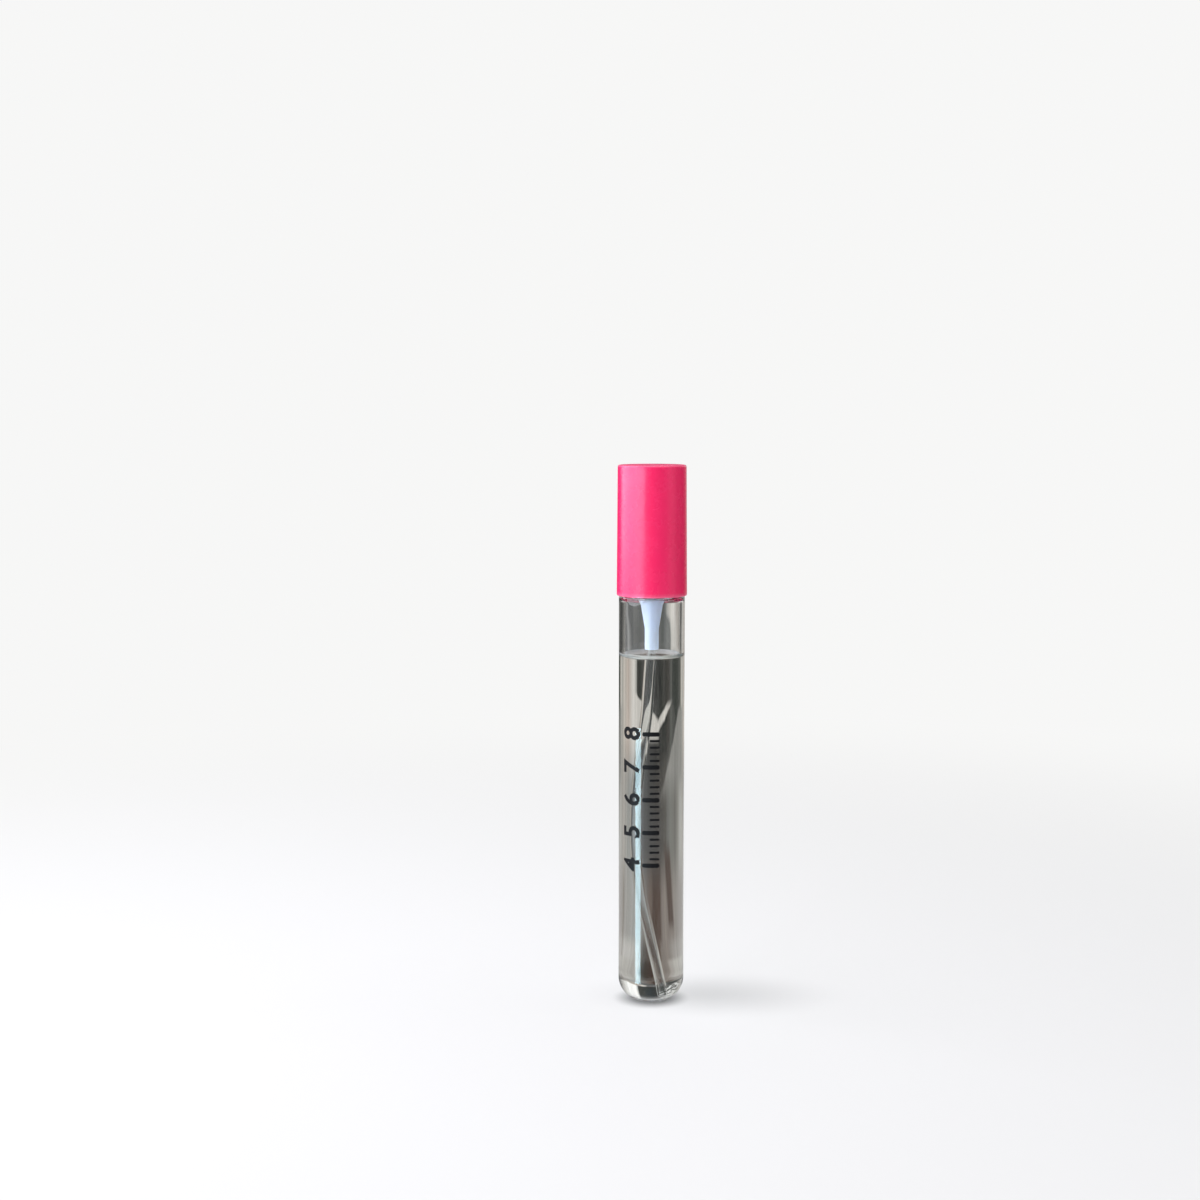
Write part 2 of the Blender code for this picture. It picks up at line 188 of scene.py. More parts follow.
def catmull(points, step):
    """Points along a smooth curve through the route, about `step` apart."""
    p = [np.array(q, float) for q in points]
    p = [2 * p[0] - p[1]] + p + [2 * p[-1] - p[-2]]
    dense = []
    for i in range(1, len(p) - 2):
        a, b, c, d = p[i - 1:i + 3]
        for k in range(60):
            t = k / 60
            dense.append(0.5 * ((2 * b) + (c - a) * t + (2 * a - 5 * b + 4 * c - d) * t * t + (3 * b - a - 3 * c + d) * t ** 3))
    dense.append(p[-2])
    dense = np.array(dense)
    s = np.concatenate([[0], np.cumsum(np.linalg.norm(np.diff(dense, axis=0), axis=1))])
    n = max(2, round(s[-1] / step))
    at = np.linspace(0, s[-1], n + 1)
    return np.stack([np.interp(at, s, dense[:, k]) for k in range(3)], 1)


def frames_along(path):
    """Unit normals and binormals carried along the path without twist."""
    tangent = np.gradient(path, axis=0)
    tangent /= np.linalg.norm(tangent, axis=1)[:, None]
    normal = np.array([1.0, 0, 0])
    out = []
    for t in tangent:
        normal = normal - t * (normal @ t)
        normal /= np.linalg.norm(normal)
        out.append((normal.copy(), np.cross(t, normal)))
    return tangent, out


def ring_points(centre, n, b, radius, sides, start=0.0):
    return [centre + radius * (math.cos(start + 2 * math.pi * k / sides) * n + math.sin(start + 2 * math.pi * k / sides) * b) for k in range(sides)]


def skin(rings, faces, slots, slot_of):
    """Quads between rings of the same size, as index lists."""
    for i in range(len(rings) - 1):
        a, b = rings[i], rings[i + 1]
        for k in range(len(a)):
            n = (k + 1) % len(a)
            faces.append((a[k], b[k], b[n], a[n]))
            slots.append(slot_of(i))


# ---------------------------------------------------------------- material helpers
def new_material(name):
    mat = bpy.data.materials.new(name)
    mat.use_nodes = True
    tree = mat.node_tree
    tree.nodes.clear()
    out = tree.nodes.new("ShaderNodeOutputMaterial")
    bsdf = tree.nodes.new("ShaderNodeBsdfPrincipled")
    tree.links.new(bsdf.outputs["BSDF"], out.inputs["Surface"])
    return mat, tree, bsdf


def place_nodes(tree, stretch=(1, 1, 1)):
    """Object coordinates, in metres, stretched."""
    coord = tree.nodes.new("ShaderNodeTexCoord")
    mapping = tree.nodes.new("ShaderNodeMapping")
    mapping.inputs["Scale"].default_value = stretch
    tree.links.new(coord.outputs["Object"], mapping.inputs["Vector"])
    return mapping.outputs["Vector"]


def noise(tree, vector, scale, detail=3.0, roughness=0.55):
    node = tree.nodes.new("ShaderNodeTexNoise")
    node.inputs["Scale"].default_value = scale
    node.inputs["Detail"].default_value = detail
    node.inputs["Roughness"].default_value = roughness
    tree.links.new(vector, node.inputs["Vector"])
    return node.outputs["Fac"]


def spread(tree, value, low, high, to_low, to_high):
    node = tree.nodes.new("ShaderNodeMapRange")
    for key, v in (("From Min", low), ("From Max", high), ("To Min", to_low), ("To Max", to_high)):
        node.inputs[key].default_value = v
    tree.links.new(value, node.inputs["Value"])
    return node.outputs["Result"]


def math_node(tree, operation, a, b=None):
    node = tree.nodes.new("ShaderNodeMath")
    node.operation = operation
    for socket, v in zip(node.inputs, (a, b)):
        if v is None:
            continue
        if isinstance(v, (int, float)):
            socket.default_value = v
        else:
            tree.links.new(v, socket)
    return node.outputs[0]


def ramp(tree, value, stops, interpolation="LINEAR"):
    node = tree.nodes.new("ShaderNodeValToRGB")
    node.color_ramp.interpolation = interpolation
    elements = node.color_ramp.elements
    while len(elements) > 1:
        elements.remove(elements[-1])
    elements[0].position, elements[0].color = stops[0][0], (*stops[0][1], 1)
    for position, colour in stops[1:]:
        e = elements.new(position)
        e.color = (*colour, 1)
    tree.links.new(value, node.inputs["Fac"])
    return node.outputs["Color"]


def bump(tree, height, bsdf, strength, distance):
    node = tree.nodes.new("ShaderNodeBump")
    node.inputs["Strength"].default_value = strength
    node.inputs["Distance"].default_value = distance
    tree.links.new(height, node.inputs["Height"])
    tree.links.new(node.outputs["Normal"], bsdf.inputs["Normal"])


def two_tone(tree, value, dark, light, bsdf):
    tree.links.new(ramp(tree, value, ((0.3, dark), (0.7, light))), bsdf.inputs["Base Color"])


def clear(name, ior, tint, rough=0.0, wave=0.0, wave_scale=(90, 90, 12), solid=1.0):
    """Clear glass, polymer or liquid. wave is the depth in metres of the long soft ripples that drawn tube has."""
    mat, tree, bsdf = new_material(name)
    bsdf.inputs["IOR"].default_value = ior
    bsdf.inputs["Transmission Weight"].default_value = solid
    vector = place_nodes(tree, wave_scale)
    field = noise(tree, vector, 1.0, 2.0)
    two_tone(tree, field, tuple(c * 0.985 for c in tint), tint, bsdf)
    if rough:
        tree.links.new(spread(tree, field, 0.3, 0.7, rough * 0.7, rough * 1.3), bsdf.inputs["Roughness"])
    else:
        bsdf.inputs["Roughness"].default_value = 0.0
    if wave:
        bump(tree, field, bsdf, 1.0, wave)
    return mat


def moulded(name, dark, light, rough, grain=0.00001, subsurface=0.0, depth=(1, 1, 1), specular=0.5, scuffs=True, coat=0.0, wear=1.0, gloss_tint=(1, 1, 1)):
    """Moulded plastic: faint flow marks in the colour, a fine satin grain, uneven gloss and hairline scuffs."""
    mat, tree, bsdf = new_material(name)
    plain = place_nodes(tree)
    flow = noise(tree, place_nodes(tree, (180, 180, 45)), 1.0, 3.0)
    two_tone(tree, flow, dark, light, bsdf)
    fine = noise(tree, plain, 9000.0, 2.0)
    patches = noise(tree, plain, 260.0, 4.0)
    gloss = math_node(tree, "ADD", spread(tree, patches, 0.3, 0.7, rough * 0.82, rough * 1.15), spread(tree, fine, 0.3, 0.7, -0.012, 0.012))
    height = fine
    if scuffs:
        wave = tree.nodes.new("ShaderNodeTexVoronoi")
        wave.feature = "DISTANCE_TO_EDGE"
        wave.inputs["Scale"].default_value = 1.0
        tree.links.new(place_nodes(tree, (700, 700, 90)), wave.inputs["Vector"])
        line = spread(tree, wave.outputs["Distance"], 0.0, 0.012, 1.0, 0.0)
        some = spread(tree, noise(tree, plain, 420.0, 2.0), 0.56, 0.66, 0.0, 1.0)
        scuff = math_node(tree, "MULTIPLY", line, some)
        gloss = math_node(tree, "ADD", gloss, math_node(tree, "MULTIPLY", scuff, 0.16 * wear))
        height = math_node(tree, "SUBTRACT", math_node(tree, "MULTIPLY", fine, 0.5), math_node(tree, "MULTIPLY", scuff, 0.35 * wear))
    tree.links.new(gloss, bsdf.inputs["Roughness"])
    bump(tree, height, bsdf, 0.5, grain)
    bsdf.inputs["Specular IOR Level"].default_value = specular
    bsdf.inputs["Specular Tint"].default_value = (*gloss_tint, 1)
    bsdf.inputs["Subsurface Weight"].default_value = subsurface
    bsdf.inputs["Subsurface Radius"].default_value = depth
    bsdf.inputs["Subsurface Scale"].default_value = 0.001
    bsdf.inputs["Coat Weight"].default_value = coat
    bsdf.inputs["Coat Roughness"].default_value = 0.12
    return mat


def painted_rim_highlight(mat, colour, low_rim, high_rim, amount):
    """Thin paler bands painted at the two rims: a painted highlight for the light the rim edges catch. The heights are
    the object's own, in metres.
    """
    tree = mat.node_tree
    bsdf = next(n for n in tree.nodes if n.type == "BSDF_PRINCIPLED")
    coord = tree.nodes.new("ShaderNodeTexCoord")
    split = tree.nodes.new("ShaderNodeSeparateXYZ")
    tree.links.new(coord.outputs["Object"], split.inputs["Vector"])
    rim = math_node(tree, "MAXIMUM", spread(tree, split.outputs["Z"], *low_rim, amount, 0.0), spread(tree, split.outputs["Z"], *high_rim, 0.0, amount))
    base = bsdf.inputs["Base Color"]
    mix = tree.nodes.new("ShaderNodeMix")
    mix.data_type = "RGBA"
    tree.links.new(rim, mix.inputs[0])
    tree.links.new(base.links[0].from_socket, mix.inputs[6])
    mix.inputs[7].default_value = (*colour, 1)
    tree.links.new(mix.outputs[2], base)


def dressed(obj, *mats):
    polygons = obj.data.polygons
    slots = np.zeros(len(polygons), np.int32)
    polygons.foreach_get("material_index", slots)      # clearing the materials would set them all to the first
    obj.data.materials.clear()
    for m in mats:
        obj.data.materials.append(m)
    polygons.foreach_set("material_index", slots)
    obj.data.update()
    return obj


M_GLASS = clear("glass_clear", IOR_GLASS, (0.985, 0.992, 0.988), wave=0.0000025)
M_GLASS_WET = clear("glass_wetted", IOR_GLASS / IOR_LIQUID, (0.99, 0.995, 0.992), wave=0.0000025)
M_LIQUID_TOP = clear("liquid_surface", IOR_LIQUID, (0.985, 0.985, 0.975))
M_MENISCUS = clear("liquid_meniscus", IOR_LIQUID, (0.97, 0.955, 0.93), solid=0.70)
M_LIQUID_SIDE = clear("liquid_side", 1.0, (0.985, 0.985, 0.975))
M_TUBE_DRY = clear("tube_in_air", IOR_TUBE, (0.94, 0.95, 0.955), rough=0.02, solid=0.99)
M_TUBE_WET = clear("tube_in_liquid", IOR_TUBE / IOR_LIQUID, (0.94, 0.95, 0.955), rough=0.01, solid=0.995)
M_PINK = moulded("pink_moulded", (0.90, 0.009, 0.108), (0.94, 0.013, 0.122), 0.27, specular=0.75, wear=0.35, gloss_tint=(0.85, 0.80, 1.0))
# painted highlight: paler pink bands along the cap's lower and upper rims
painted_rim_highlight(M_PINK, (0.90, 0.25, 0.41), (0.09395, 0.09490), (0.12310, 0.12350), 0.40)
M_WHITE = moulded("white_moulded", (0.80, 0.81, 0.82), (0.86, 0.87, 0.88), 0.34, subsurface=0.15, depth=(1.2, 1.1, 1.0))
M_BODY = moulded("pump_body_moulded", (0.40, 0.46, 0.61), (0.45, 0.52, 0.66), 0.42, subsurface=0.6, depth=(2.6, 2.9, 3.6), specular=0.35, scuffs=False)
# strength of the pump body's painted glow
M_BODY_PAINTED_GLOW = 0.26
M_MILKY = moulded("milky_moulded", (0.80, 0.83, 0.86), (0.88, 0.90, 0.92), 0.32, subsurface=0.3, depth=(1.2, 1.3, 1.5), scuffs=False)
M_SEAL = moulded("seal_rubber", (0.045, 0.046, 0.048), (0.070, 0.071, 0.074), 0.62, specular=0.35, scuffs=False)


def steel():
    mat, tree, bsdf = new_material("drawn_steel")
    bsdf.inputs["Metallic"].default_value = 1.0
    drawn = noise(tree, place_nodes(tree, (2600, 2600, 2600)), 1.0, 3.0)
    two_tone(tree, drawn, (0.52, 0.53, 0.54), (0.66, 0.67, 0.69), bsdf)
    tree.links.new(spread(tree, drawn, 0.3, 0.7, 0.16, 0.30), bsdf.inputs["Roughness"])
    bump(tree, drawn, bsdf, 0.4, 0.000004)
    return mat


def ink():
    mat, tree, bsdf = new_material("printed_ink")
    grain = noise(tree, place_nodes(tree), 7000.0, 3.0)
    two_tone(tree, grain, (0.003, 0.003, 0.004), (0.007, 0.007, 0.008), bsdf)
    tree.links.new(spread(tree, grain, 0.3, 0.7, 0.45, 0.60), bsdf.inputs["Roughness"])
    bsdf.inputs["Specular IOR Level"].default_value = 0.12
    bump(tree, grain, bsdf, 0.4, 0.000004)
    return mat


for node in M_BODY.node_tree.nodes:
    if node.type == "BSDF_PRINCIPLED":                 # painted glow: emission standing in for light that has come through the translucent wall from behind
        node.inputs["Emission Color"].default_value = (0.74, 0.84, 1.0, 1)
        node.inputs["Emission Strength"].default_value = M_BODY_PAINTED_GLOW
M_STEEL = steel()
M_INK = ink()


# ---------------------------------------------------------------- the glass vial, on body "vial"
WET_Z = LIQUID_Z + CLIMB


def vial_profile():
    inner = [(0.0, 1.42), (0.8, 1.41), (1.7, 1.37), (2.8, 1.32), (4.0, 1.302)] + arc(4.9, 2.9, 1.6, -87, 0, 18)
    inner += [(GLASS_IN_R, z) for z in (9, 16, 28, 40, 50, 60, 70, 77, WET_Z, 84, 88)]
    inner += arc(5.1, 92.4, 1.4, 0, 80, 12)
    inner += [(4.7, 93.87), (4.1, 94.0), (3.87, 94.2), (3.8, 94.5), (3.8, 99.0), (3.8, 104.3)]
    mouth = arc(4.1, 104.5, 0.3, 180, 90, 6) + arc(4.72, 104.52, 0.28, 90, 0, 6)
    neck = [(NECK_R, 104.1 - 0.1 * k) for k in range(88)]
    outer = [(5.03, 95.22), (5.13, 95.02), (5.34, 94.87), (5.7, 94.815)] + arc(6.1, 93.4, 1.4, 86, 0, 16)
    outer += [(GLASS_R, z) for z in (88, 80, 70, 60, 50, 40, 30, 20, 12)]
    outer += arc(2.3, 5.2, 5.2, 0, -84, 24)
    outer += [(2.55, 0.0), (2.3, 0.0), (2.05, 0.05), (1.7, 0.14), (1.0, 0.24), (0.0, 0.27)]
    return inner + mouth + neck + outer


def vial_tag(r, z):
    return 1 if z < WET_Z and (r < GLASS_IN_R + 0.001 and inside_wall(r, z)) else 0


def inside_wall(r, z):
    """True on the inner face below the liquid line."""
    if z < 2.9:
        return z > 1.2 and math.hypot(max(0.0, r - 4.9), z - 2.9) < 1.72
    return True


def vial_radius(r, z, angle):
    if abs(r - NECK_R) < 1e-6 and 97.0 < z < 103.9:
        return r + (NECK_CREST_R - NECK_R) * helix_height(z, angle, NECK_THREAD_Z, 1.1, 0.45), z
    return r, z


vial = turned("glass_vial", vial_profile(), 160, tag=vial_tag, radius_at=vial_radius, sharp=40)
dressed(vial, M_GLASS, M_GLASS_WET)
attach(vial, "vial")
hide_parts("vial")


# ---------------------------------------------------------------- the liquid, on body "vial", with the pocket that the tube stands in
def liquid_mesh():
    sides = 96
    skin_r = GLASS_IN_R - 0.012
    verts, faces, slots, rings = [], [], [], []

    def add_ring(points):
        ring = list(range(len(verts), len(verts) + len(points)))
        verts.extend(points)
        rings.append(ring)
        return ring

    def flat_ring(r, z, cx=0.0, cy=0.0):
        return [(cx + r * math.cos(2 * math.pi * k / sides), cy + r * math.sin(2 * math.pi * k / sides), z) for k in range(sides)]

    bottom = len(verts)
    verts.append((0.0, 0.0, 1.434))
    low = [(0.8, 1.422), (1.7, 1.382), (2.8, 1.332), (4.0, 1.314)] + arc(4.9, 2.9, 1.588, -87, 0, 18)
    low += [(skin_r, z) for z in (9, 16, 28, 40, 50, 60, 70, 77)]
    for r, z in low:
        add_ring(flat_ring(r, z))
    side_rings = len(rings)
    # the free surface: a steep climb at the wall, flat in the middle, a small climb round the tube
    path = catmull(TUBE_ROUTE, 0.6)
    cross = path[np.argmin(abs(path[:, 2] - LIQUID_Z))]
    hole = TUBE_R + 0.012
    top = []
    reach = np.concatenate([np.linspace(0, 1, 18) ** 2 * 3.2, np.linspace(3.2, skin_r - hole - 1.0, 6)[1:], skin_r - hole - np.linspace(0.85, 0, 9)])
    for d in reach:                       # d = distance from the wall
        r = skin_r - d
        from_tube = r - hole
        z = LIQUID_Z + CLIMB * math.exp(-(d / 1.1) ** 0.75) + TUBE_CLIMB * math.exp(-(from_tube / 0.35) ** 0.8)
        share = d / (skin_r - hole)
        top.append((r, z, cross[0] * share, cross[1] * share))
    for r, z, cx, cy in top:
        add_ring(flat_ring(r, z, cx, cy))
    top_end = len(rings)
    # the pocket, down along the tube and closed under its tip
    tangent, axes = frames_along(path)
    start = next(i for i, p in enumerate(path) if p[2] < LIQUID_Z - 0.5)
    for i in range(start, len(path)):
        n, b = axes[i]
        add_ring([tuple(p) for p in ring_points(path[i], n, b, hole, sides)])
    tip, t = path[-1], tangent[-1]
    n, b = axes[-1]
    for out, r in ((0.15, hole), (0.3, hole * 0.8), (0.36, hole * 0.4)):
        add_ring([tuple(p) for p in ring_points(tip + t * out, n, b, r, sides)])
    end = len(verts)
    verts.append(tuple(tip + t * 0.37))
    # line the pocket's rings up with the top's, whose first point looks along +X
    for k in range(sides):
        faces.append((bottom, rings[0][(k + 1) % sides], rings[0][k]))
        slots.append(1)
    for i in range(len(rings) - 1):
        a, b2 = rings[i], rings[i + 1]
        slot = 0 if side_rings - 1 < i + 0.5 < top_end - 0.5 else 1
        if i == side_rings - 1:
            slot = 1                       # from the last wall ring up to the climb's edge
        elif slot == 0 and reach[min(i - side_rings + 1, len(reach) - 1)] < 1.25:
            slot = 2                       # the steep climb along the wall
        for k in range(sides):
            n2 = (k + 1) % sides
            faces.append((a[k], b2[k], b2[n2], a[n2]))
            slots.append(slot)
    last = rings[-1]
    for k in range(sides):
        faces.append((last[k], end, last[(k + 1) % sides]))
        slots.append(1)
    return finish_mesh("perfume_liquid", verts, faces, slots, 60)


# the pocket's rings turn the other way round, because the path runs down: mirrored sides keep them in step
def ring_points(centre, n, b, radius, sides, start=0.0):  # noqa: F811
    return [centre + radius * (math.cos(2 * math.pi * k / sides) * n - math.sin(2 * math.pi * k / sides) * b) for k in range(sides)]


liquid = liquid_mesh()
dressed(liquid, M_LIQUID_TOP, M_LIQUID_SIDE, M_MENISCUS)
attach(liquid, "vial")
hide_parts("perfume")


# ---------------------------------------------------------------- dip tube, on body "pump"
def tube_mesh():
    sides = 32
    path = catmull(TUBE_ROUTE, 0.55)
    wet_out = LIQUID_Z + TUBE_CLIMB
    tangent, axes = frames_along(path)
    verts, faces, slots = [], [], []
    outer, inner = [], []
    # a slanted cut at the lower end
    for which, radius, store in (("out", TUBE_R, outer), ("in", TUBE_IN_R, inner)):
        for i, p in enumerate(path):
            n, b = axes[i]
            ring = []
            for q in ring_points(p, n, b, radius, sides):
                if i == len(path) - 1:
                    q = q + tangent[i] * 0.28 * float((q - p) @ np.array([1.0, 0, 0]))
                ring.append(len(verts))
                verts.append(tuple(q))
            store.append(ring)
    # close the cut's and the top's rims
    def lip(o, i_, slot):
        for k in range(sides):
            n2 = (k + 1) % sides
            faces.append((o[k], i_[k], i_[n2], o[n2]))
            slots.append(slot)
    for i in range(len(path) - 1):
        mid = (path[i][2] + path[i + 1][2]) / 2
        for k in range(sides):
            n2 = (k + 1) % sides
            faces.append((outer[i][k], outer[i + 1][k], outer[i + 1][n2], outer[i][n2]))
            slots.append(1 if mid < wet_out else 0)
            faces.append((inner[i][k], inner[i][n2], inner[i + 1][n2], inner[i + 1][k]))
            slots.append(1)                # the bore stays full of liquid
    lip(outer[0], inner[0], 1)
    lip(outer[-1], inner[-1], 1)
    return finish_mesh("dip_tube_clear", verts, faces, slots, 50)


tube = tube_mesh()
dressed(tube, M_TUBE_DRY, M_TUBE_WET)
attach(tube, "pump")
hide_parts("dip_tube")


# ---------------------------------------------------------------- pump housing, turret
housing_profile = filleted([
    (2.62, 106.5, 0.05), (4.75, 106.5, 0.12), (4.9, 106.35, 0.05), (4.9, 105.6, 0.1), (3.4, 105.6, 0.1), (3.3, 105.45, 0.05),
    (3.3, 96.5, 0.6), (1.6, 86.3, 0.5), (1.6, 81.65, 0.08), (1.5, 81.5, 0.05), (1.15, 81.5, 0.04), (1.08, 81.65, 0.03), (1.08, 86.2),
    (0.5, 86.25), (0.5, 88.7), (1.15, 89.35), (1.15, 90.3), (0.72, 90.6), (0.72, 90.8), (1.3, 91.3), (1.3, 93.7), (2.1, 93.7),
    (2.1, 96.5), (2.5, 97.1), (2.5, 106.2)], 5)
housing = dressed(turned("pump_housing_body", even(housing_profile, 1.5, True), 96), M_BODY)
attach(housing, "pump")
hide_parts("pump_housing")

turret_profile = filleted([
    (1.75, 108.5, 0.1), (3.6, 108.5, 0.12), (3.9, 108.38, 0.1), (4.0, 108.1, 0.06), (4.0, 106.6, 0.05), (2.42, 106.6, 0.04),
    (2.42, 104.2, 0.05), (2.3, 104.1, 0.03), (1.75, 104.1, 0.05)], 5)
turret = dressed(turned("turret_ring", turret_profile, 96), M_WHITE)
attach(turret, "pump")
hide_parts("turret")


# ---------------------------------------------------------------- screw collar with fine grip ribs
def collar_radius(r, z, angle):
    if r > 6.55 and 97.2 < z < 106.75:
        wave = 0.5 + 0.5 * math.cos(angle * 48)
        ends = min(1.0, (z - 97.2) / 0.35, (106.75 - z) / 0.35)
        return r - 0.17 * (1 - wave ** 0.6) * max(0.0, ends), z
    if abs(r - COLLAR_IN_R) < 1e-6 and 96.6 < z < 102.0:
        return r - (COLLAR_IN_R - COLLAR_CREST_R) * helix_height(z, angle, COLLAR_THREAD_Z, 1.0, 0.4), z
    return r, z


collar_profile = filleted([
    (4.25, 107.7, 0.06), (6.2, 107.7, 0.2), (6.5, 107.58, 0.1), (6.62, 107.3, 0.08), (6.62, 106.9)], 4, False)
collar_profile += [(6.62, 106.8), (6.62, 106.6), (6.62, 106.4)] + [(6.62, z) for z in np.linspace(105.5, 98.2, 9)] + [(6.62, 97.6), (6.62, 97.4), (6.62, 97.15)]
collar_profile += filleted([(6.62, 97.0), (6.62, 96.5, 0.1), (6.5, 96.3, 0.08), (6.05, 96.3, 0.08), (5.9, 96.45, 0.04), (5.9, 96.6)], 4, False)
collar_profile += [(COLLAR_IN_R, 96.65 + 0.1 * k) for k in range(54)]
collar_profile += filleted([(5.9, 103.5), (5.9, 106.65, 0.2), (4.15, 106.65, 0.05), (4.15, 107.6, 0.03)], 4, False)
collar = dressed(turned("screw_collar", collar_profile, 288, radius_at=collar_radius, sharp=38), M_WHITE)
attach(collar, "collar")
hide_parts("collar")


# ---------------------------------------------------------------- the pink overcap
def cap_radius(r, z, angle):
    if 6.0 < r < 7.0 and 109.2 < z < 121.5:      # six short stops inside, over the collar
        lobe = abs((angle + math.pi / 6) % (math.pi / 3) - math.pi / 6) * r
        f = min(1.0, max(0.0, (0.45 - lobe) / 0.12)) * min(1.0, (z - 109.2) / 0.4)
        return r - 0.42 * f, z
    return r, z


cap_profile = [(0.0, 123.36), (0.55, 123.36), (0.62, 123.38), (0.72, 123.46), (0.82, 123.48)]
cap_profile += filleted([(0.9, 123.48), (4.0, 123.49), (7.35, 123.5), (7.66, 123.42, 0.12), (7.8, 123.08, 0.22), (7.8 + 0.2 * (123.08 - 118) / 28.9, 118.0)], 6, False)
cap_profile += [(7.8 + 0.2 * (123.08 - z) / 28.88, z) for z in (112.0, 106.0, 100.0)]
cap_profile += filleted([(7.99, 95.5), (8.0, 94.15, 0.2), (7.93, 93.97, 0.06), (7.82, 93.9, 0.05), (7.72, 93.92, 0.05), (6.9, 95.6, 0.5), (6.886, 97.0)], 5, False)
cap_profile += [(6.9 - 0.2 * (z - 94.1) / 27.85, z) for z in (103.0, 108.8)]
cap_profile += [(6.9 - 0.2 * (z - 94.1) / 27.85, z) for z in (109.2, 109.4, 109.6, 110.5, 114.0, 118.0, 121.3, 121.45)]
cap_profile += filleted([(6.7, 121.6), (6.7, 121.95, 0.1), (6.4, 122.25, 0.15), (3.0, 122.25), (0.0, 122.25)], 5, False)
cap = dressed(turned("pink_overcap", cap_profile, 240, radius_at=cap_radius, sharp=38), M_PINK)
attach(cap, "cap")
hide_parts("overcap")


# ---------------------------------------------------------------- spray button with its nozzle
def button_mesh():
    profile = filleted([
        (4.9, 117.45, 0.0), (4.9, 111.35, 0.08), (4.8, 111.2, 0.05), (4.3, 111.2, 0.05), (4.2, 111.3, 0.04), (4.2, 113.9, 0.2),
        (2.5, 113.9, 0.1), (2.5, 112.05, 0.06), (2.4, 111.9, 0.05), (1.75, 111.9, 0.05), (1.66, 112.05, 0.04), (1.66, 113.9, 0.04)], 4, False)[1:]
    crown = [(0.0, 117.30), (1.2, 117.31), (2.4, 117.39), (3.3, 117.56), (3.9, 117.72), (4.25, 117.79)] + arc(4.42, 117.32, 0.48, 84, 4, 8)
    full = crown + even([(4.9, 117.2)] + profile, 0.6) + [(0.5, 113.9), (0.5, 116.2), (0.0, 116.2)]
    obj = turned("spray_button", full, 128, sharp=38)
    # the nozzle's pocket and the channel behind it
    cutter = bpy.data.meshes.new("button_cutter")
    bm = bmesh.new()
    for r, y0, y1 in ((1.35, -5.7, -3.3), (0.35, -3.6, 0.0)):
        m = Matrix.Translation((0, (y0 + y1) / 2 * MM, NOZZLE_Z * MM)) @ Matrix.Rotation(math.pi / 2, 4, "X")
        bmesh.ops.create_cone(bm, cap_ends=True, segments=48, radius1=r * MM, radius2=r * MM, depth=(y1 - y0) * MM, matrix=m)
    bm.to_mesh(cutter)
    bm.free()
    tool = bpy.data.objects.new("button_cutter", cutter)
    scene.collection.objects.link(tool)
    boolean = obj.modifiers.new("pocket", "BOOLEAN")
    boolean.operation, boolean.object, boolean.solver, boolean.use_self = "DIFFERENCE", tool, "EXACT", True
    bpy.context.view_layer.update()
    cut = bpy.data.meshes.new_from_object(obj.evaluated_get(bpy.context.evaluated_depsgraph_get()))
    obj.modifiers.clear()
    obj.data = cut
    cut.polygons.foreach_set("use_smooth", np.ones(len(cut.polygons), bool))
    cut.set_sharp_from_angle(angle=math.radians(32))
    bpy.data.objects.remove(tool)
    return obj


button = dressed(button_mesh(), M_WHITE)
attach(button, "spray_head")
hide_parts("actuator")


def nozzle_mesh():
    """Turned about the spray axis, which looks along -Y."""
    profile = filleted([(0.15, 1.22, 0.02), (0.42, 1.3, 0.04), (0.95, 1.3, 0.1), (1.25, 1.15, 0.08), (1.25, 0.0), (0.8, 0.0), (0.8, 0.9), (0.15, 0.9)], 4)
    verts, faces, slots = turned("", profile, 64, make=False)
    verts = [(x, -3.4 - z, NOZZLE_Z + y) for x, y, z in verts]
    return finish_mesh("spray_nozzle", verts, faces, slots)


nozzle = dressed(nozzle_mesh(), M_MILKY)
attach(nozzle, "spray_head")
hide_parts("nozzle_insert")


# ---------------------------------------------------------------- return spring: a drawn wire with closed ends
def spring_mesh():
    mean, wire, low, high, turns, sides = 1.7, 0.2, 94.05, 99.9, 6.0, 14
    steps = 420
    points = []
    for i in range(steps + 1):
        t = i / steps
        rise = min(1.0, max(0.0, (t - 0.10) / 0.80))
        closed_low = min(t, 0.10) / 0.10 * 0.30
        closed_high = max(0.0, t - 0.90) / 0.10 * 0.30
        z = low + closed_low + closed_high + rise * (high - low - 0.60)
        a = 2 * math.pi * turns * t
        points.append(np.array([mean * math.cos(a), mean * math.sin(a), z]))
    path = np.array(points)
    tangent, axes = frames_along(path)
    verts, faces, slots, rings = [], [], [], []
    for p, (n, b) in zip(path, axes):
        ring = []
        for q in ring_points(p, n, b, wire, sides):
            ring.append(len(verts))
            verts.append(tuple(q))
        rings.append(ring)
    skin(rings, faces, slots, lambda i: 0)
    faces.append(tuple(rings[0][::-1]))
    faces.append(tuple(rings[-1]))
    slots += [0, 0]
    return finish_mesh("return_spring_wire", verts, faces, slots, 40)


spring = dressed(spring_mesh(), M_STEEL)
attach(spring, "pump")
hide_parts("return_spring")
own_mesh(spring)


# ---------------------------------------------------------------- CAD nodes that stay, with their materials
for name, mat in (("neck_gasket", M_SEAL), ("stem", M_WHITE), ("piston", M_MILKY), ("piston_seat", M_MILKY), ("check_ball", M_STEEL)):
    node = NODES[name]
    if not node.material_slots:
        node.data.materials.append(mat)
    for s in node.material_slots:
        s.material = mat


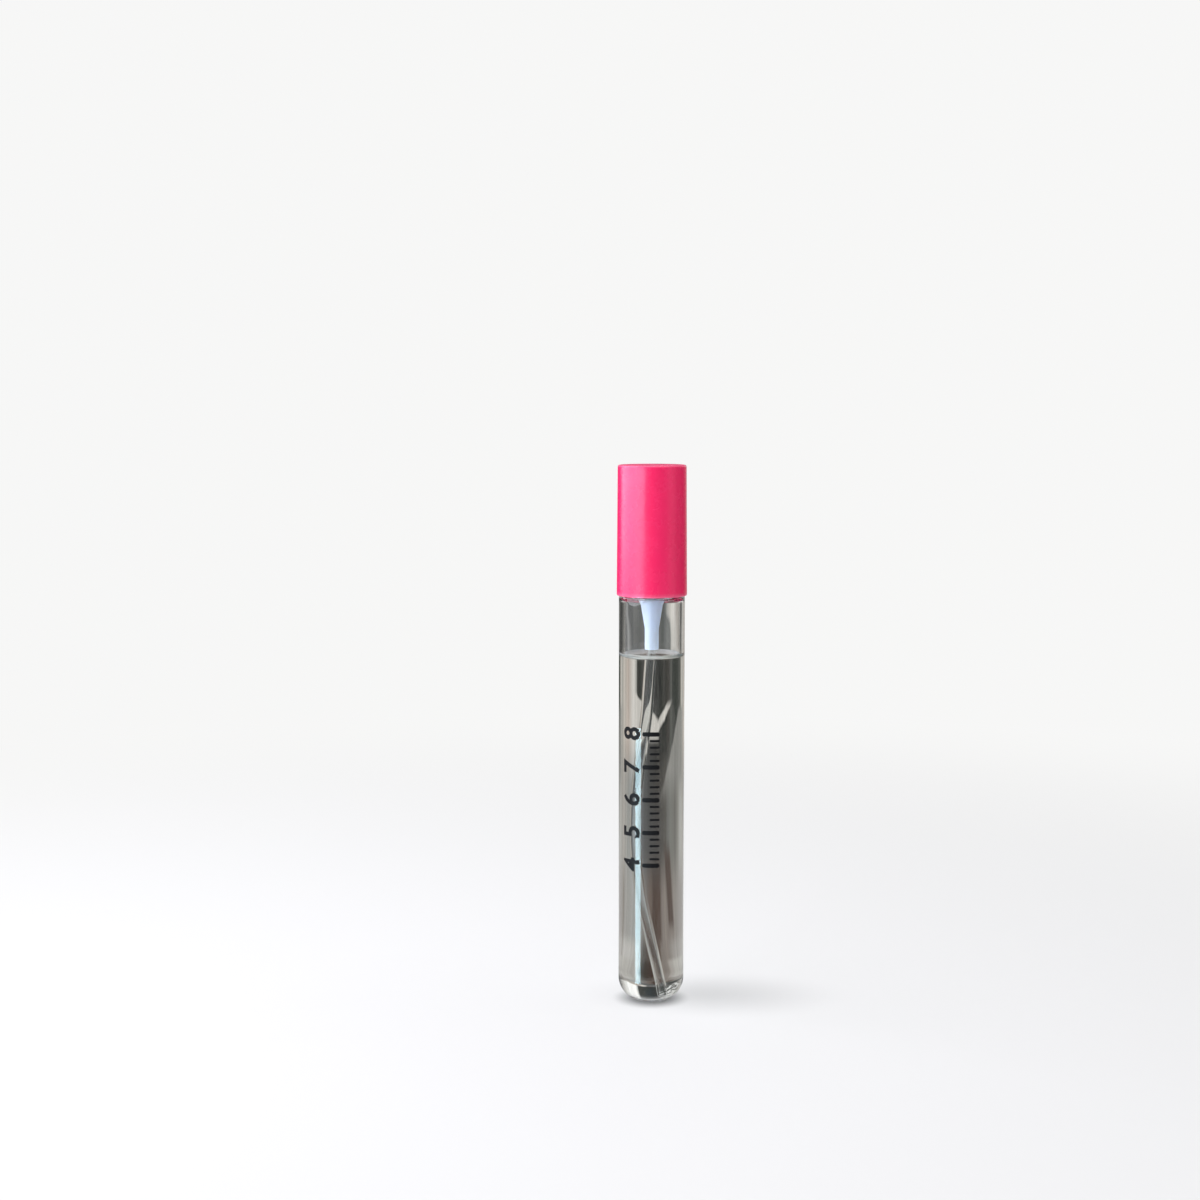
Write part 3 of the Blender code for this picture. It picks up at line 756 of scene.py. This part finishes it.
# ---------------------------------------------------------------- the printed millilitre scale, on body "vial"
def bend_to_glass(bm, centre_angle, centre_z, lift_low=0.004, lift_high=0.022):
    """bm holds flat faces, x across and y up, in mm. Returns a closed thin film on the glass."""
    verts, faces = [], []
    index = {}
    for v in bm.verts:
        index[v.index] = len(verts)
        verts.append((v.co.x, v.co.y))
    n = len(verts)
    out = []
    for r in (GLASS_R + lift_high, GLASS_R + lift_low):
        for x, y in verts:
            a = centre_angle + x / GLASS_R
            out.append((r * math.sin(a), -r * math.cos(a), centre_z + y))
    for f in bm.faces:
        ids = [index[v.index] for v in f.verts]
        faces.append(ids)
        faces.append([i + n for i in reversed(ids)])
    for e in bm.edges:
        if len(e.link_faces) == 1:
            a, b = index[e.verts[0].index], index[e.verts[1].index]
            faces.append([a, b, b + n, a + n])
    return out, faces


def sliced(bm, x0, x1, step):
    """Cuts the flat faces in strips so that they bend smoothly."""
    x = x0 + step
    while x < x1 - 1e-6:
        bmesh.ops.bisect_plane(bm, geom=bm.verts[:] + bm.edges[:] + bm.faces[:], plane_co=(x, 0, 0), plane_no=(1, 0, 0))
        x += step
    bm.verts.index_update()


def tick(angle0, angle1, z, height):
    """A printed line on the glass from one angle to another, in degrees from the front, positive to the right."""
    x0, x1 = math.radians(angle0) * GLASS_R, math.radians(angle1) * GLASS_R
    bm = bmesh.new()
    soft = height * 0.25
    outline = [(x0, -height / 2 + soft), (x0 + soft, -height / 2), (x1 - soft, -height / 2), (x1, -height / 2 + soft),
               (x1, height / 2 - soft), (x1 - soft, height / 2), (x0 + soft, height / 2), (x0, height / 2 - soft)]
    bm.faces.new([bm.verts.new((x, y, 0)) for x, y in outline])
    sliced(bm, x0, x1, 0.35)
    made = bend_to_glass(bm, 0.0, z)
    bm.free()
    return made


def numeral(text, angle, z, size):
    """A plain printed number that reads upwards, centred at this angle and height."""
    curve = bpy.data.curves.new("numeral", "FONT")
    curve.body, curve.size, curve.align_x, curve.align_y = text, 1.0, "CENTER", "CENTER"
    curve.resolution_u = 6
    curve.offset = 0.028
    obj = bpy.data.objects.new("numeral", curve)
    scene.collection.objects.link(obj)
    bpy.context.view_layer.update()
    mesh = bpy.data.meshes.new_from_object(obj.evaluated_get(bpy.context.evaluated_depsgraph_get()))
    bm = bmesh.new()
    bm.from_mesh(mesh)
    bmesh.ops.remove_doubles(bm, verts=bm.verts[:], dist=0.0005)
    xs, ys = [v.co.x for v in bm.verts], [v.co.y for v in bm.verts]
    cx, cy, tall = (min(xs) + max(xs)) / 2, (min(ys) + max(ys)) / 2, max(ys) - min(ys)
    k = size / tall
    for v in bm.verts:      # a quarter turn, so that it reads from the bottom up
        v.co = Vector((-(v.co.y - cy) * k, (v.co.x - cx) * k, 0))
    bpy.data.objects.remove(obj)
    bpy.data.curves.remove(curve)
    bpy.data.meshes.remove(mesh)
    lo, hi = min(v.co.x for v in bm.verts), max(v.co.x for v in bm.verts)
    sliced(bm, lo, hi, 0.3)
    made = bend_to_glass(bm, math.radians(angle), z)
    bm.free()
    return made


def scale_print():
    verts, faces = [], []

    def add(made):
        base = len(verts)
        verts.extend(made[0])
        faces.extend([[i + base for i in f] for f in made[1]])

    per_ml = 1000 / (math.pi * GLASS_IN_R ** 2)
    zero = 1.72 + 1.05                     # the rounded heel takes about a millimetre of height
    for tenth in range(40, 82, 2):
        z = zero + per_ml * tenth / 10
        whole = tenth % 10 == 0
        add(tick(-16 if whole else -3, 14, z, 1.0 if whole else 0.5))
        if whole:
            add(numeral(str(tenth // 10), -38, z, 4.6))
    return finish_mesh("printed_scale", verts, faces, None, 30)


scale = dressed(scale_print(), M_INK)
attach(scale, "vial")


# ---------------------------------------------------------------- stage: pale floor, soft studio light
PALE = (0.93, 0.93, 0.925)


def tone_mix(tree, factor, a, b):
    node = tree.nodes.new("ShaderNodeMix")
    node.data_type = "RGBA"
    for socket, v in ((node.inputs[0], factor), (node.inputs[6], a), (node.inputs[7], b)):
        if isinstance(v, (int, float)):
            socket.default_value = v
        elif isinstance(v, tuple):
            socket.default_value = (*v, 1)
        else:
            tree.links.new(v, socket)
    return node.outputs[2]


def eased(tree, value, low, high, to_low=0.0, to_high=1.0):
    node = tree.nodes.new("ShaderNodeMapRange")
    node.interpolation_type = "SMOOTHSTEP"
    for key, v in (("From Min", low), ("From Max", high), ("To Min", to_low), ("To Max", to_high)):
        node.inputs[key].default_value = v
    tree.links.new(value, node.inputs["Value"])
    return node.outputs["Result"]


def room_tone(tree, x, y, away=None, high=None):
    """The tones that the glass and the gloss pick up from the room: soft upright bands, the same four times round the vial.
    They change with the distance on the floor, and in the world with the height over the horizon."""
    angle = math_node(tree, "ARCTAN2", x, y)                      # 0 behind the vial, positive to the right
    quarter = math_node(tree, "ADD", math_node(tree, "DIVIDE", angle, math.pi / 2), 4.5)
    comb = tree.nodes.new("ShaderNodeCombineXYZ")
    tree.links.new(math_node(tree, "MULTIPLY", angle, 6.0), comb.inputs["X"])
    wobble = noise(tree, comb.outputs["Vector"], 2.0, 5.0, 0.65)
    q = math_node(tree, "FRACT", math_node(tree, "ADD", quarter, spread(tree, wobble, 0.3, 0.7, -0.012, 0.012)))
    beyond = ramp(tree, q if away is None else math_node(tree, "SUBTRACT", q, eased(tree, away, 0.70, 0.90, 0.03, 0.0)), (
        (0.00, (0.070, 0.072, 0.068)), (0.035, (0.055, 0.056, 0.054)), (0.125, (0.060, 0.063, 0.060)), (0.215, (0.036, 0.038, 0.037)),
        (0.29, (0.045, 0.046, 0.045)), (0.318, (0.085, 0.085, 0.083)), (0.340, (0.30, 0.295, 0.29)), (0.362, (0.30, 0.295, 0.29)), (0.386, (0.11, 0.11, 0.108)),
        (0.42, (0.11, 0.112, 0.11)), (0.45, (0.135, 0.138, 0.135)), (0.540, (0.12, 0.125, 0.12)),
        (0.558, (0.52, 0.50, 0.46)), (0.600, (0.66, 0.63, 0.59)), (0.66, (0.46, 0.41, 0.37)), (0.74, (0.44, 0.41, 0.37)),
        (0.80, (0.60, 0.58, 0.55)), (0.86, (0.52, 0.50, 0.47)), (0.93, (0.11, 0.11, 0.105)), (1.00, (0.070, 0.072, 0.068))))
    if away is None:
        heel = ramp(tree, q, (
            (0.00, (0.55, 0.53, 0.50)), (0.10, (0.22, 0.21, 0.20)), (0.20, (0.10, 0.10, 0.095)), (0.33, (0.10, 0.10, 0.095)), (0.38, (0.022, 0.026, 0.022)),
            (0.46, (0.010, 0.013, 0.011)), (0.56, (0.022, 0.026, 0.022)), (0.645, (0.045, 0.048, 0.044)), (0.67, (1.10, 1.095, 1.08)), (0.80, (1.10, 1.095, 1.09)), (1.00, (0.55, 0.53, 0.50))))
        tone = tone_mix(tree, eased(tree, high, 0.020, 0.045), beyond, heel)
    else:
        foot = ramp(tree, q, (
            (0.00, (0.50, 0.48, 0.455)), (0.30, (0.46, 0.44, 0.41)), (0.345, (0.38, 0.355, 0.33)), (0.375, (0.33, 0.30, 0.275)), (0.39, (0.22, 0.19, 0.17)),
            (0.45, (0.20, 0.165, 0.14)), (0.478, (0.085, 0.060, 0.045)), (0.495, (0.045, 0.026, 0.018)), (0.535, (0.038, 0.028, 0.022)), (0.555, (0.08, 0.085, 0.08)),
            (0.57, (0.22, 0.215, 0.205)), (0.585, (0.42, 0.405, 0.385)), (0.80, (0.47, 0.45, 0.42)), (1.00, (0.50, 0.48, 0.455))))
        ring = ramp(tree, q, (
            (0.00, (0.29, 0.27, 0.255)), (0.10, (0.30, 0.28, 0.265)), (0.24, (0.27, 0.245, 0.225)), (0.27, (0.22, 0.19, 0.17)), (0.345, (0.20, 0.17, 0.15)),
            (0.40, (0.21, 0.18, 0.16)), (0.42, (0.072, 0.042, 0.030)), (0.48, (0.060, 0.036, 0.025)), (0.505, (0.145, 0.11, 0.092)), (0.56, (0.18, 0.17, 0.16)), (0.59, (0.24, 0.24, 0.235)),
            (0.62, (0.35, 0.36, 0.36)), (0.72, (0.34, 0.335, 0.32)), (0.84, (0.33, 0.315, 0.295)), (0.87, (0.19, 0.155, 0.13)), (0.90, (0.31, 0.29, 0.27)), (1.00, (0.29, 0.27, 0.255))))
        middle = ramp(tree, q, (
            (0.00, (0.40, 0.38, 0.35)), (0.07, (0.42, 0.42, 0.40)), (0.15, (0.25, 0.24, 0.22)), (0.22, (0.15, 0.145, 0.13)), (0.29, (0.18, 0.18, 0.165)),
            (0.335, (0.14, 0.14, 0.13)), (0.36, (0.085, 0.078, 0.070)), (0.45, (0.060, 0.056, 0.052)), (0.56, (0.090, 0.092, 0.092)), (0.64, (0.14, 0.15, 0.16)),
            (0.665, (0.36, 0.38, 0.39)), (0.78, (0.30, 0.30, 0.285)), (0.88, (0.42, 0.39, 0.36)), (0.95, (0.30, 0.29, 0.27)), (1.00, (0.40, 0.38, 0.35))))
        far = ramp(tree, q, (
            (0.00, (0.58, 0.55, 0.51)), (0.035, (0.50, 0.47, 0.43)), (0.085, (0.085, 0.088, 0.080)), (0.16, (0.045, 0.050, 0.045)),
            (0.25, (0.036, 0.041, 0.037)), (0.285, (0.075, 0.080, 0.075)), (0.33, (0.020, 0.022, 0.021)), (0.40, (0.024, 0.026, 0.024)),
            (0.46, (0.055, 0.055, 0.053)), (0.53, (0.085, 0.085, 0.083)), (0.62, (0.028, 0.031, 0.028)), (0.648, (0.030, 0.033, 0.030)),
            (0.662, (0.50, 0.49, 0.46)), (0.70, (0.68, 0.655, 0.62)), (0.78, (0.50, 0.42, 0.37)), (0.88, (0.56, 0.52, 0.47)), (0.95, (0.30, 0.29, 0.27)), (1.00, (0.58, 0.55, 0.51))))
        glow = ramp(tree, q, (
            (0.00, (0.38, 0.36, 0.34)), (0.27, (0.33, 0.31, 0.29)), (0.33, (0.26, 0.235, 0.215)), (0.36, (0.21, 0.18, 0.16)), (0.42, (0.195, 0.165, 0.145)),
            (0.44, (0.090, 0.060, 0.045)), (0.50, (0.070, 0.048, 0.038)), (0.55, (0.085, 0.078, 0.070)), (0.58, (0.20, 0.20, 0.195)), (0.605, (0.46, 0.45, 0.43)),
            (0.80, (0.52, 0.50, 0.48)), (0.85, (0.46, 0.44, 0.42)), (0.875, (0.24, 0.205, 0.18)), (0.90, (0.44, 0.42, 0.40)), (1.00, (0.38, 0.36, 0.34))))
        tone = foot
        for low, high_, other in ((0.033, 0.038, glow), (0.044, 0.060, ring), (0.092, 0.165, middle), (0.25, 0.37, far), (0.60, 0.67, beyond)):
            tone = tone_mix(tree, eased(tree, away, low, high_), tone, other)
        # a brown line on the slant at the other side
        brown = math_node(tree, "SUBTRACT", math_node(tree, "SUBTRACT", q, 0.26), math_node(tree, "MULTIPLY", away, 0.54))
        brown = math_node(tree, "MULTIPLY", eased(tree, brown, -0.050, -0.025), eased(tree, brown, 0.020, 0.050, 1.0, 0.0))
        brown = math_node(tree, "MULTIPLY", brown, math_node(tree, "MULTIPLY", eased(tree, away, 0.058, 0.075), eased(tree, away, 0.14, 0.18, 1.0, 0.0)))
        tone = tone_mix(tree, math_node(tree, "MULTIPLY", brown, 0.9), tone, (0.060, 0.034, 0.024))
        # nearer by, the pale zone at one side widens to a rounded edge, and a narrow pale vein crosses the dark zone on the slant
        edge = math_node(tree, "SUBTRACT", q, eased(tree, away, 0.400, 0.505, 0.43, 0.67))
        wide = math_node(tree, "MULTIPLY", eased(tree, edge, -0.012, 0.022), eased(tree, q, 0.66, 0.72, 1.0, 0.0))
        line = math_node(tree, "SUBTRACT", math_node(tree, "ADD", q, math_node(tree, "MULTIPLY", away, 1.88)), 1.177)
        vein = math_node(tree, "MULTIPLY", eased(tree, line, -0.042, -0.016), eased(tree, line, 0.016, 0.042, 1.0, 0.0))
        vein = math_node(tree, "MULTIPLY", vein, eased(tree, away, 0.440, 0.475, 1.0, 0.0))
        pale = math_node(tree, "MULTIPLY", math_node(tree, "MAXIMUM", wide, vein), eased(tree, away, 0.345, 0.375))
        tone = tone_mix(tree, math_node(tree, "MULTIPLY", pale, 0.9), tone, (0.68, 0.65, 0.61))
        # the dark zone ends nearer by along the same slant
        end = math_node(tree, "SUBTRACT", 0.763, math_node(tree, "ADD", q, math_node(tree, "MULTIPLY", away, 1.42)))
        nearer = math_node(tree, "MULTIPLY", eased(tree, away, 0.43, 0.46, 1.0, 0.0), eased(tree, away, 0.22, 0.30))
        tone = tone_mix(tree, math_node(tree, "MULTIPLY", nearer, eased(tree, end, -0.008, 0.022)), tone, (0.27, 0.265, 0.25))
    grain = tree.nodes.new("ShaderNodeMix")
    grain.data_type, grain.blend_type = "RGBA", "MULTIPLY"
    grain.inputs[0].default_value = 1.0
    tree.links.new(tone, grain.inputs[6])
    tree.links.new(ramp(tree, wobble, ((0.30, (0.76, 0.76, 0.76)), (0.70, (1.24, 1.24, 1.24)))), grain.inputs[7])
    return grain.outputs[2], angle


def bright_side(tree, angle):
    """1 towards the light, at the left, where the surroundings are bright."""
    return math_node(tree, "MULTIPLY", eased(tree, angle, -2.40, -1.95), eased(tree, angle, -1.20, -0.95, 1.0, 0.0))


def light_patches(tree, split):
    """Low over the horizon a few pale patches stand in the dark half: the mixed light that the round heel gathers."""
    comb = tree.nodes.new("ShaderNodeCombineXYZ")
    tree.links.new(math_node(tree, "MULTIPLY", split.outputs["X"], 7.0), comb.inputs["X"])
    tree.links.new(math_node(tree, "MULTIPLY", split.outputs["Y"], 7.0), comb.inputs["Y"])
    tree.links.new(math_node(tree, "MULTIPLY", split.outputs["Z"], 16.0), comb.inputs["Z"])
    patch = eased(tree, noise(tree, comb.outputs["Vector"], 1.3, 2.0, 0.5), 0.50, 0.56)
    low = eased(tree, split.outputs["Z"], 0.045, 0.08)
    turn = math_node(tree, "FRACT", math_node(tree, "ADD", math_node(tree, "DIVIDE", math_node(tree, "ARCTAN2", split.outputs["X"], split.outputs["Y"]), math.pi / 2), 4.5))
    side = eased(tree, turn, 0.33, 0.38, 1.0, 0.0)
    return math_node(tree, "MULTIPLY", math_node(tree, "MULTIPLY", patch, low), side)


def mixed(tree, factor, a, b):
    node = tree.nodes.new("ShaderNodeMixShader")
    for socket, v in zip(node.inputs, (factor, a, b)):
        if isinstance(v, (int, float)):
            socket.default_value = v
        else:
            tree.links.new(v, socket)
    return node.outputs[0]


def floor_material():
    mat, tree, bsdf = new_material("stage_floor")
    out = next(n for n in tree.nodes if n.type == "OUTPUT_MATERIAL")
    geometry = tree.nodes.new("ShaderNodeNewGeometry")
    split = tree.nodes.new("ShaderNodeSeparateXYZ")
    tree.links.new(geometry.outputs["Position"], split.inputs["Vector"])
    x, y = split.outputs["X"], split.outputs["Y"]
    away = math_node(tree, "SQRT", math_node(tree, "ADD", math_node(tree, "MULTIPLY", x, x), math_node(tree, "MULTIPLY", y, y)))
    # painted shadow: the floor's colour and glow are darkened under the rounded heel and a little on the side away from
    # the light
    side_x = math_node(tree, "SUBTRACT", x, 0.014)
    side_y = math_node(tree, "MULTIPLY", math_node(tree, "SUBTRACT", y, 0.003), 1.7)
    side = math_node(tree, "SQRT", math_node(tree, "ADD", math_node(tree, "MULTIPLY", side_x, side_x), math_node(tree, "MULTIPLY", side_y, side_y)))
    painted_floor_shadow = math_node(tree, "MULTIPLY", eased(tree, away, 0.0030, 0.0095, 0.22, 1.0), eased(tree, side, 0.0, 0.034, 0.80, 1.0))
    tree.links.new(tone_mix(tree, painted_floor_shadow, (0.0, 0.0, 0.0), (0.52, 0.517, 0.512)), bsdf.inputs["Base Color"])
    bsdf.inputs["Emission Color"].default_value = (1.0, 0.998, 0.99, 1)
    tree.links.new(math_node(tree, "MULTIPLY", painted_floor_shadow, 0.24), bsdf.inputs["Emission Strength"])
    bsdf.inputs["Roughness"].default_value = 1.0
    bsdf.inputs["Specular IOR Level"].default_value = 0.0
    back = tree.nodes.new("ShaderNodeEmission")
    back.inputs["Color"].default_value = (*PALE, 1)
    near = mixed(tree, eased(tree, away, 0.05, 0.42), bsdf.outputs["BSDF"], back.outputs["Emission"])
    tone, angle = room_tone(tree, x, y, away)
    path = tree.nodes.new("ShaderNodeLightPath")
    # towards the light, at the left, the floor is bright
    through = tone_mix(tree, bright_side(tree, angle), tone, (0.80, 0.83, 0.86))
    # painted shade: seen in reflections, the floor is darker close round the foot
    close = tone_mix(tree, eased(tree, away, 0.012, 0.060), (0.30, 0.30, 0.30), (0.80, 0.80, 0.80))
    mirrored = tone_mix(tree, eased(tree, away, 0.10, 0.35), close, tone)
    room = tree.nodes.new("ShaderNodeEmission")
    tree.links.new(tone_mix(tree, path.outputs["Is Transmission Ray"], mirrored, through), room.inputs["Color"])
    seen = math_node(tree, "MAXIMUM", path.outputs["Is Glossy Ray"], path.outputs["Is Transmission Ray"])
    tree.links.new(mixed(tree, seen, near, room.outputs["Emission"]), out.inputs["Surface"])
    return mat


def stage_floor():
    bm = bmesh.new()
    bmesh.ops.create_circle(bm, cap_ends=True, segments=96, radius=4.0)
    mesh = bpy.data.meshes.new("stage_floor")
    bm.to_mesh(mesh)
    bm.free()
    obj = bpy.data.objects.new("stage_floor", mesh)
    scene.collection.objects.link(obj)
    mesh.materials.append(floor_material())
    return obj


def studio_world():
    world = bpy.data.worlds.new("studio")
    scene.world = world
    world.use_nodes = True
    tree = world.node_tree
    tree.nodes.clear()
    out = tree.nodes.new("ShaderNodeOutputWorld")
    coord = tree.nodes.new("ShaderNodeTexCoord")
    split = tree.nodes.new("ShaderNodeSeparateXYZ")
    tree.links.new(coord.outputs["Generated"], split.inputs["Vector"])
    path = tree.nodes.new("ShaderNodeLightPath")

    def flat(colour, strength):
        n = tree.nodes.new("ShaderNodeBackground")
        n.inputs["Color"].default_value = (*colour, 1)
        n.inputs["Strength"].default_value = strength
        return n.outputs["Background"]

    tone, angle = room_tone(tree, split.outputs["X"], split.outputs["Y"], high=split.outputs["Z"])
    tone = tone_mix(tree, light_patches(tree, split), tone, (0.75, 0.75, 0.74))
    side = math_node(tree, "MULTIPLY", bright_side(tree, angle), path.outputs["Is Transmission Ray"])
    tone = tone_mix(tree, side, tone, (0.80, 0.83, 0.86))
    room = tree.nodes.new("ShaderNodeBackground")
    tree.links.new(tone_mix(tree, eased(tree, split.outputs["Z"], 0.30, 0.60), tone, (0.80, 0.81, 0.82)), room.inputs["Color"])
    seen = math_node(tree, "MAXIMUM", path.outputs["Is Glossy Ray"], path.outputs["Is Transmission Ray"])
    inner = mixed(tree, seen, flat((0.96, 0.975, 1.0), 0.34), room.outputs["Background"])
    tree.links.new(mixed(tree, path.outputs["Is Camera Ray"], inner, flat(PALE, 1.0)), out.inputs["Surface"])


def area(name, place, target, size, power, colour=(1, 1, 1), spread_deg=180, glossy=True):
    data = bpy.data.lights.new(name, "AREA")
    data.shape = "RECTANGLE"
    data.size, data.size_y = size
    data.energy = power
    data.color = colour
    data.spread = math.radians(spread_deg)
    obj = bpy.data.objects.new(name, data)
    scene.collection.objects.link(obj)
    obj.location = place
    obj.rotation_mode = "QUATERNION"
    obj.rotation_quaternion = (Vector(target) - Vector(place)).to_track_quat("-Z", "Y")
    obj.visible_camera = obj.visible_transmission = False
    obj.visible_glossy = glossy
    return obj


def streak_card():
    """A bright strip low at the left front, seen only as a reflection: the upright streak on the glass."""
    mat = bpy.data.materials.new("stage_strip")
    mat.use_nodes = True
    tree = mat.node_tree
    tree.nodes.clear()
    out = tree.nodes.new("ShaderNodeOutputMaterial")
    glow = tree.nodes.new("ShaderNodeEmission")
    glow.inputs["Color"].default_value = (0.62, 0.90, 1.0, 1)
    glow.inputs["Strength"].default_value = 13.0
    tree.links.new(glow.outputs["Emission"], out.inputs["Surface"])
    verts, faces = [], []
    steps = 8
    for i in range(steps + 1):
        # where the upright line at this sine meets the glass, and which way it throws the view on
        turn = math.asin(-0.480 + (0.480 - 0.318) * i / steps)
        px, py = GLASS_R * 0.001 * math.sin(turn), -GLASS_R * 0.001 * math.cos(turn)
        dx, dy = px, py + 0.460
        n = math.hypot(dx, dy)
        dx, dy = dx / n, dy / n
        nx, ny = math.sin(turn), -math.cos(turn)
        dot = dx * nx + dy * ny
        rx, ry = dx - 2 * dot * nx, dy - 2 * dot * ny
        for t in (0.0150, 0.39):
            verts.append((px + t * rx, py + t * ry, 0.0004))
    for i in range(steps):
        faces.append((2 * i, 2 * i + 1, 2 * i + 3, 2 * i + 2))
    mesh = bpy.data.meshes.new("stage_strip")
    mesh.from_pydata(verts, [], faces)
    obj = bpy.data.objects.new("stage_strip", mesh)
    scene.collection.objects.link(obj)
    mesh.materials.append(mat)
    obj.visible_camera = obj.visible_diffuse = obj.visible_transmission = obj.visible_shadow = False
    return obj


stage_floor()
studio_world()
streak_card()
area("key_left", (-0.4755, -0.1545, 0.2915), (0, 0, 0.25), (1.10, 0.478), 6.75, (0.90, 0.91, 1.0))
area("top_soft", (0.05, 0.05, 0.75), (0, 0, 0.05), (0.70, 0.70), 4.0, (1.0, 1.0, 1.0))

for obj in (vial, liquid, tube):
    obj.visible_shadow = False

# ---------------------------------------------------------------- camera, at the photograph's angle
cam_data = bpy.data.cameras.new("camera")
cam_data.sensor_width = 36.0
cam_data.angle = math.radians(32.924)
cam_data.clip_start, cam_data.clip_end = 0.01, 20.0
cam = bpy.data.objects.new("camera", cam_data)
scene.collection.objects.link(cam)
yaw, pitch = math.radians(1.47), math.radians(5.717)
cam.location = (0.0, -0.460, 0.1388)
cam.rotation_mode = "QUATERNION"
cam.rotation_quaternion = Vector((-math.sin(yaw) * math.cos(pitch), math.cos(yaw) * math.cos(pitch), -math.sin(pitch))).to_track_quat("-Z", "Y")
scene.camera = cam

scene.view_settings.view_transform = "Standard"
scene.view_settings.look = "None"
scene.cycles.max_bounces = 64
scene.cycles.transmission_bounces = 64
scene.cycles.glossy_bounces = 24
scene.cycles.diffuse_bounces = 4
scene.cycles.transparent_max_bounces = 16
scene.cycles.sample_clamp_indirect = 6.0
scene.cycles.caustics_reflective = False
scene.cycles.caustics_refractive = True
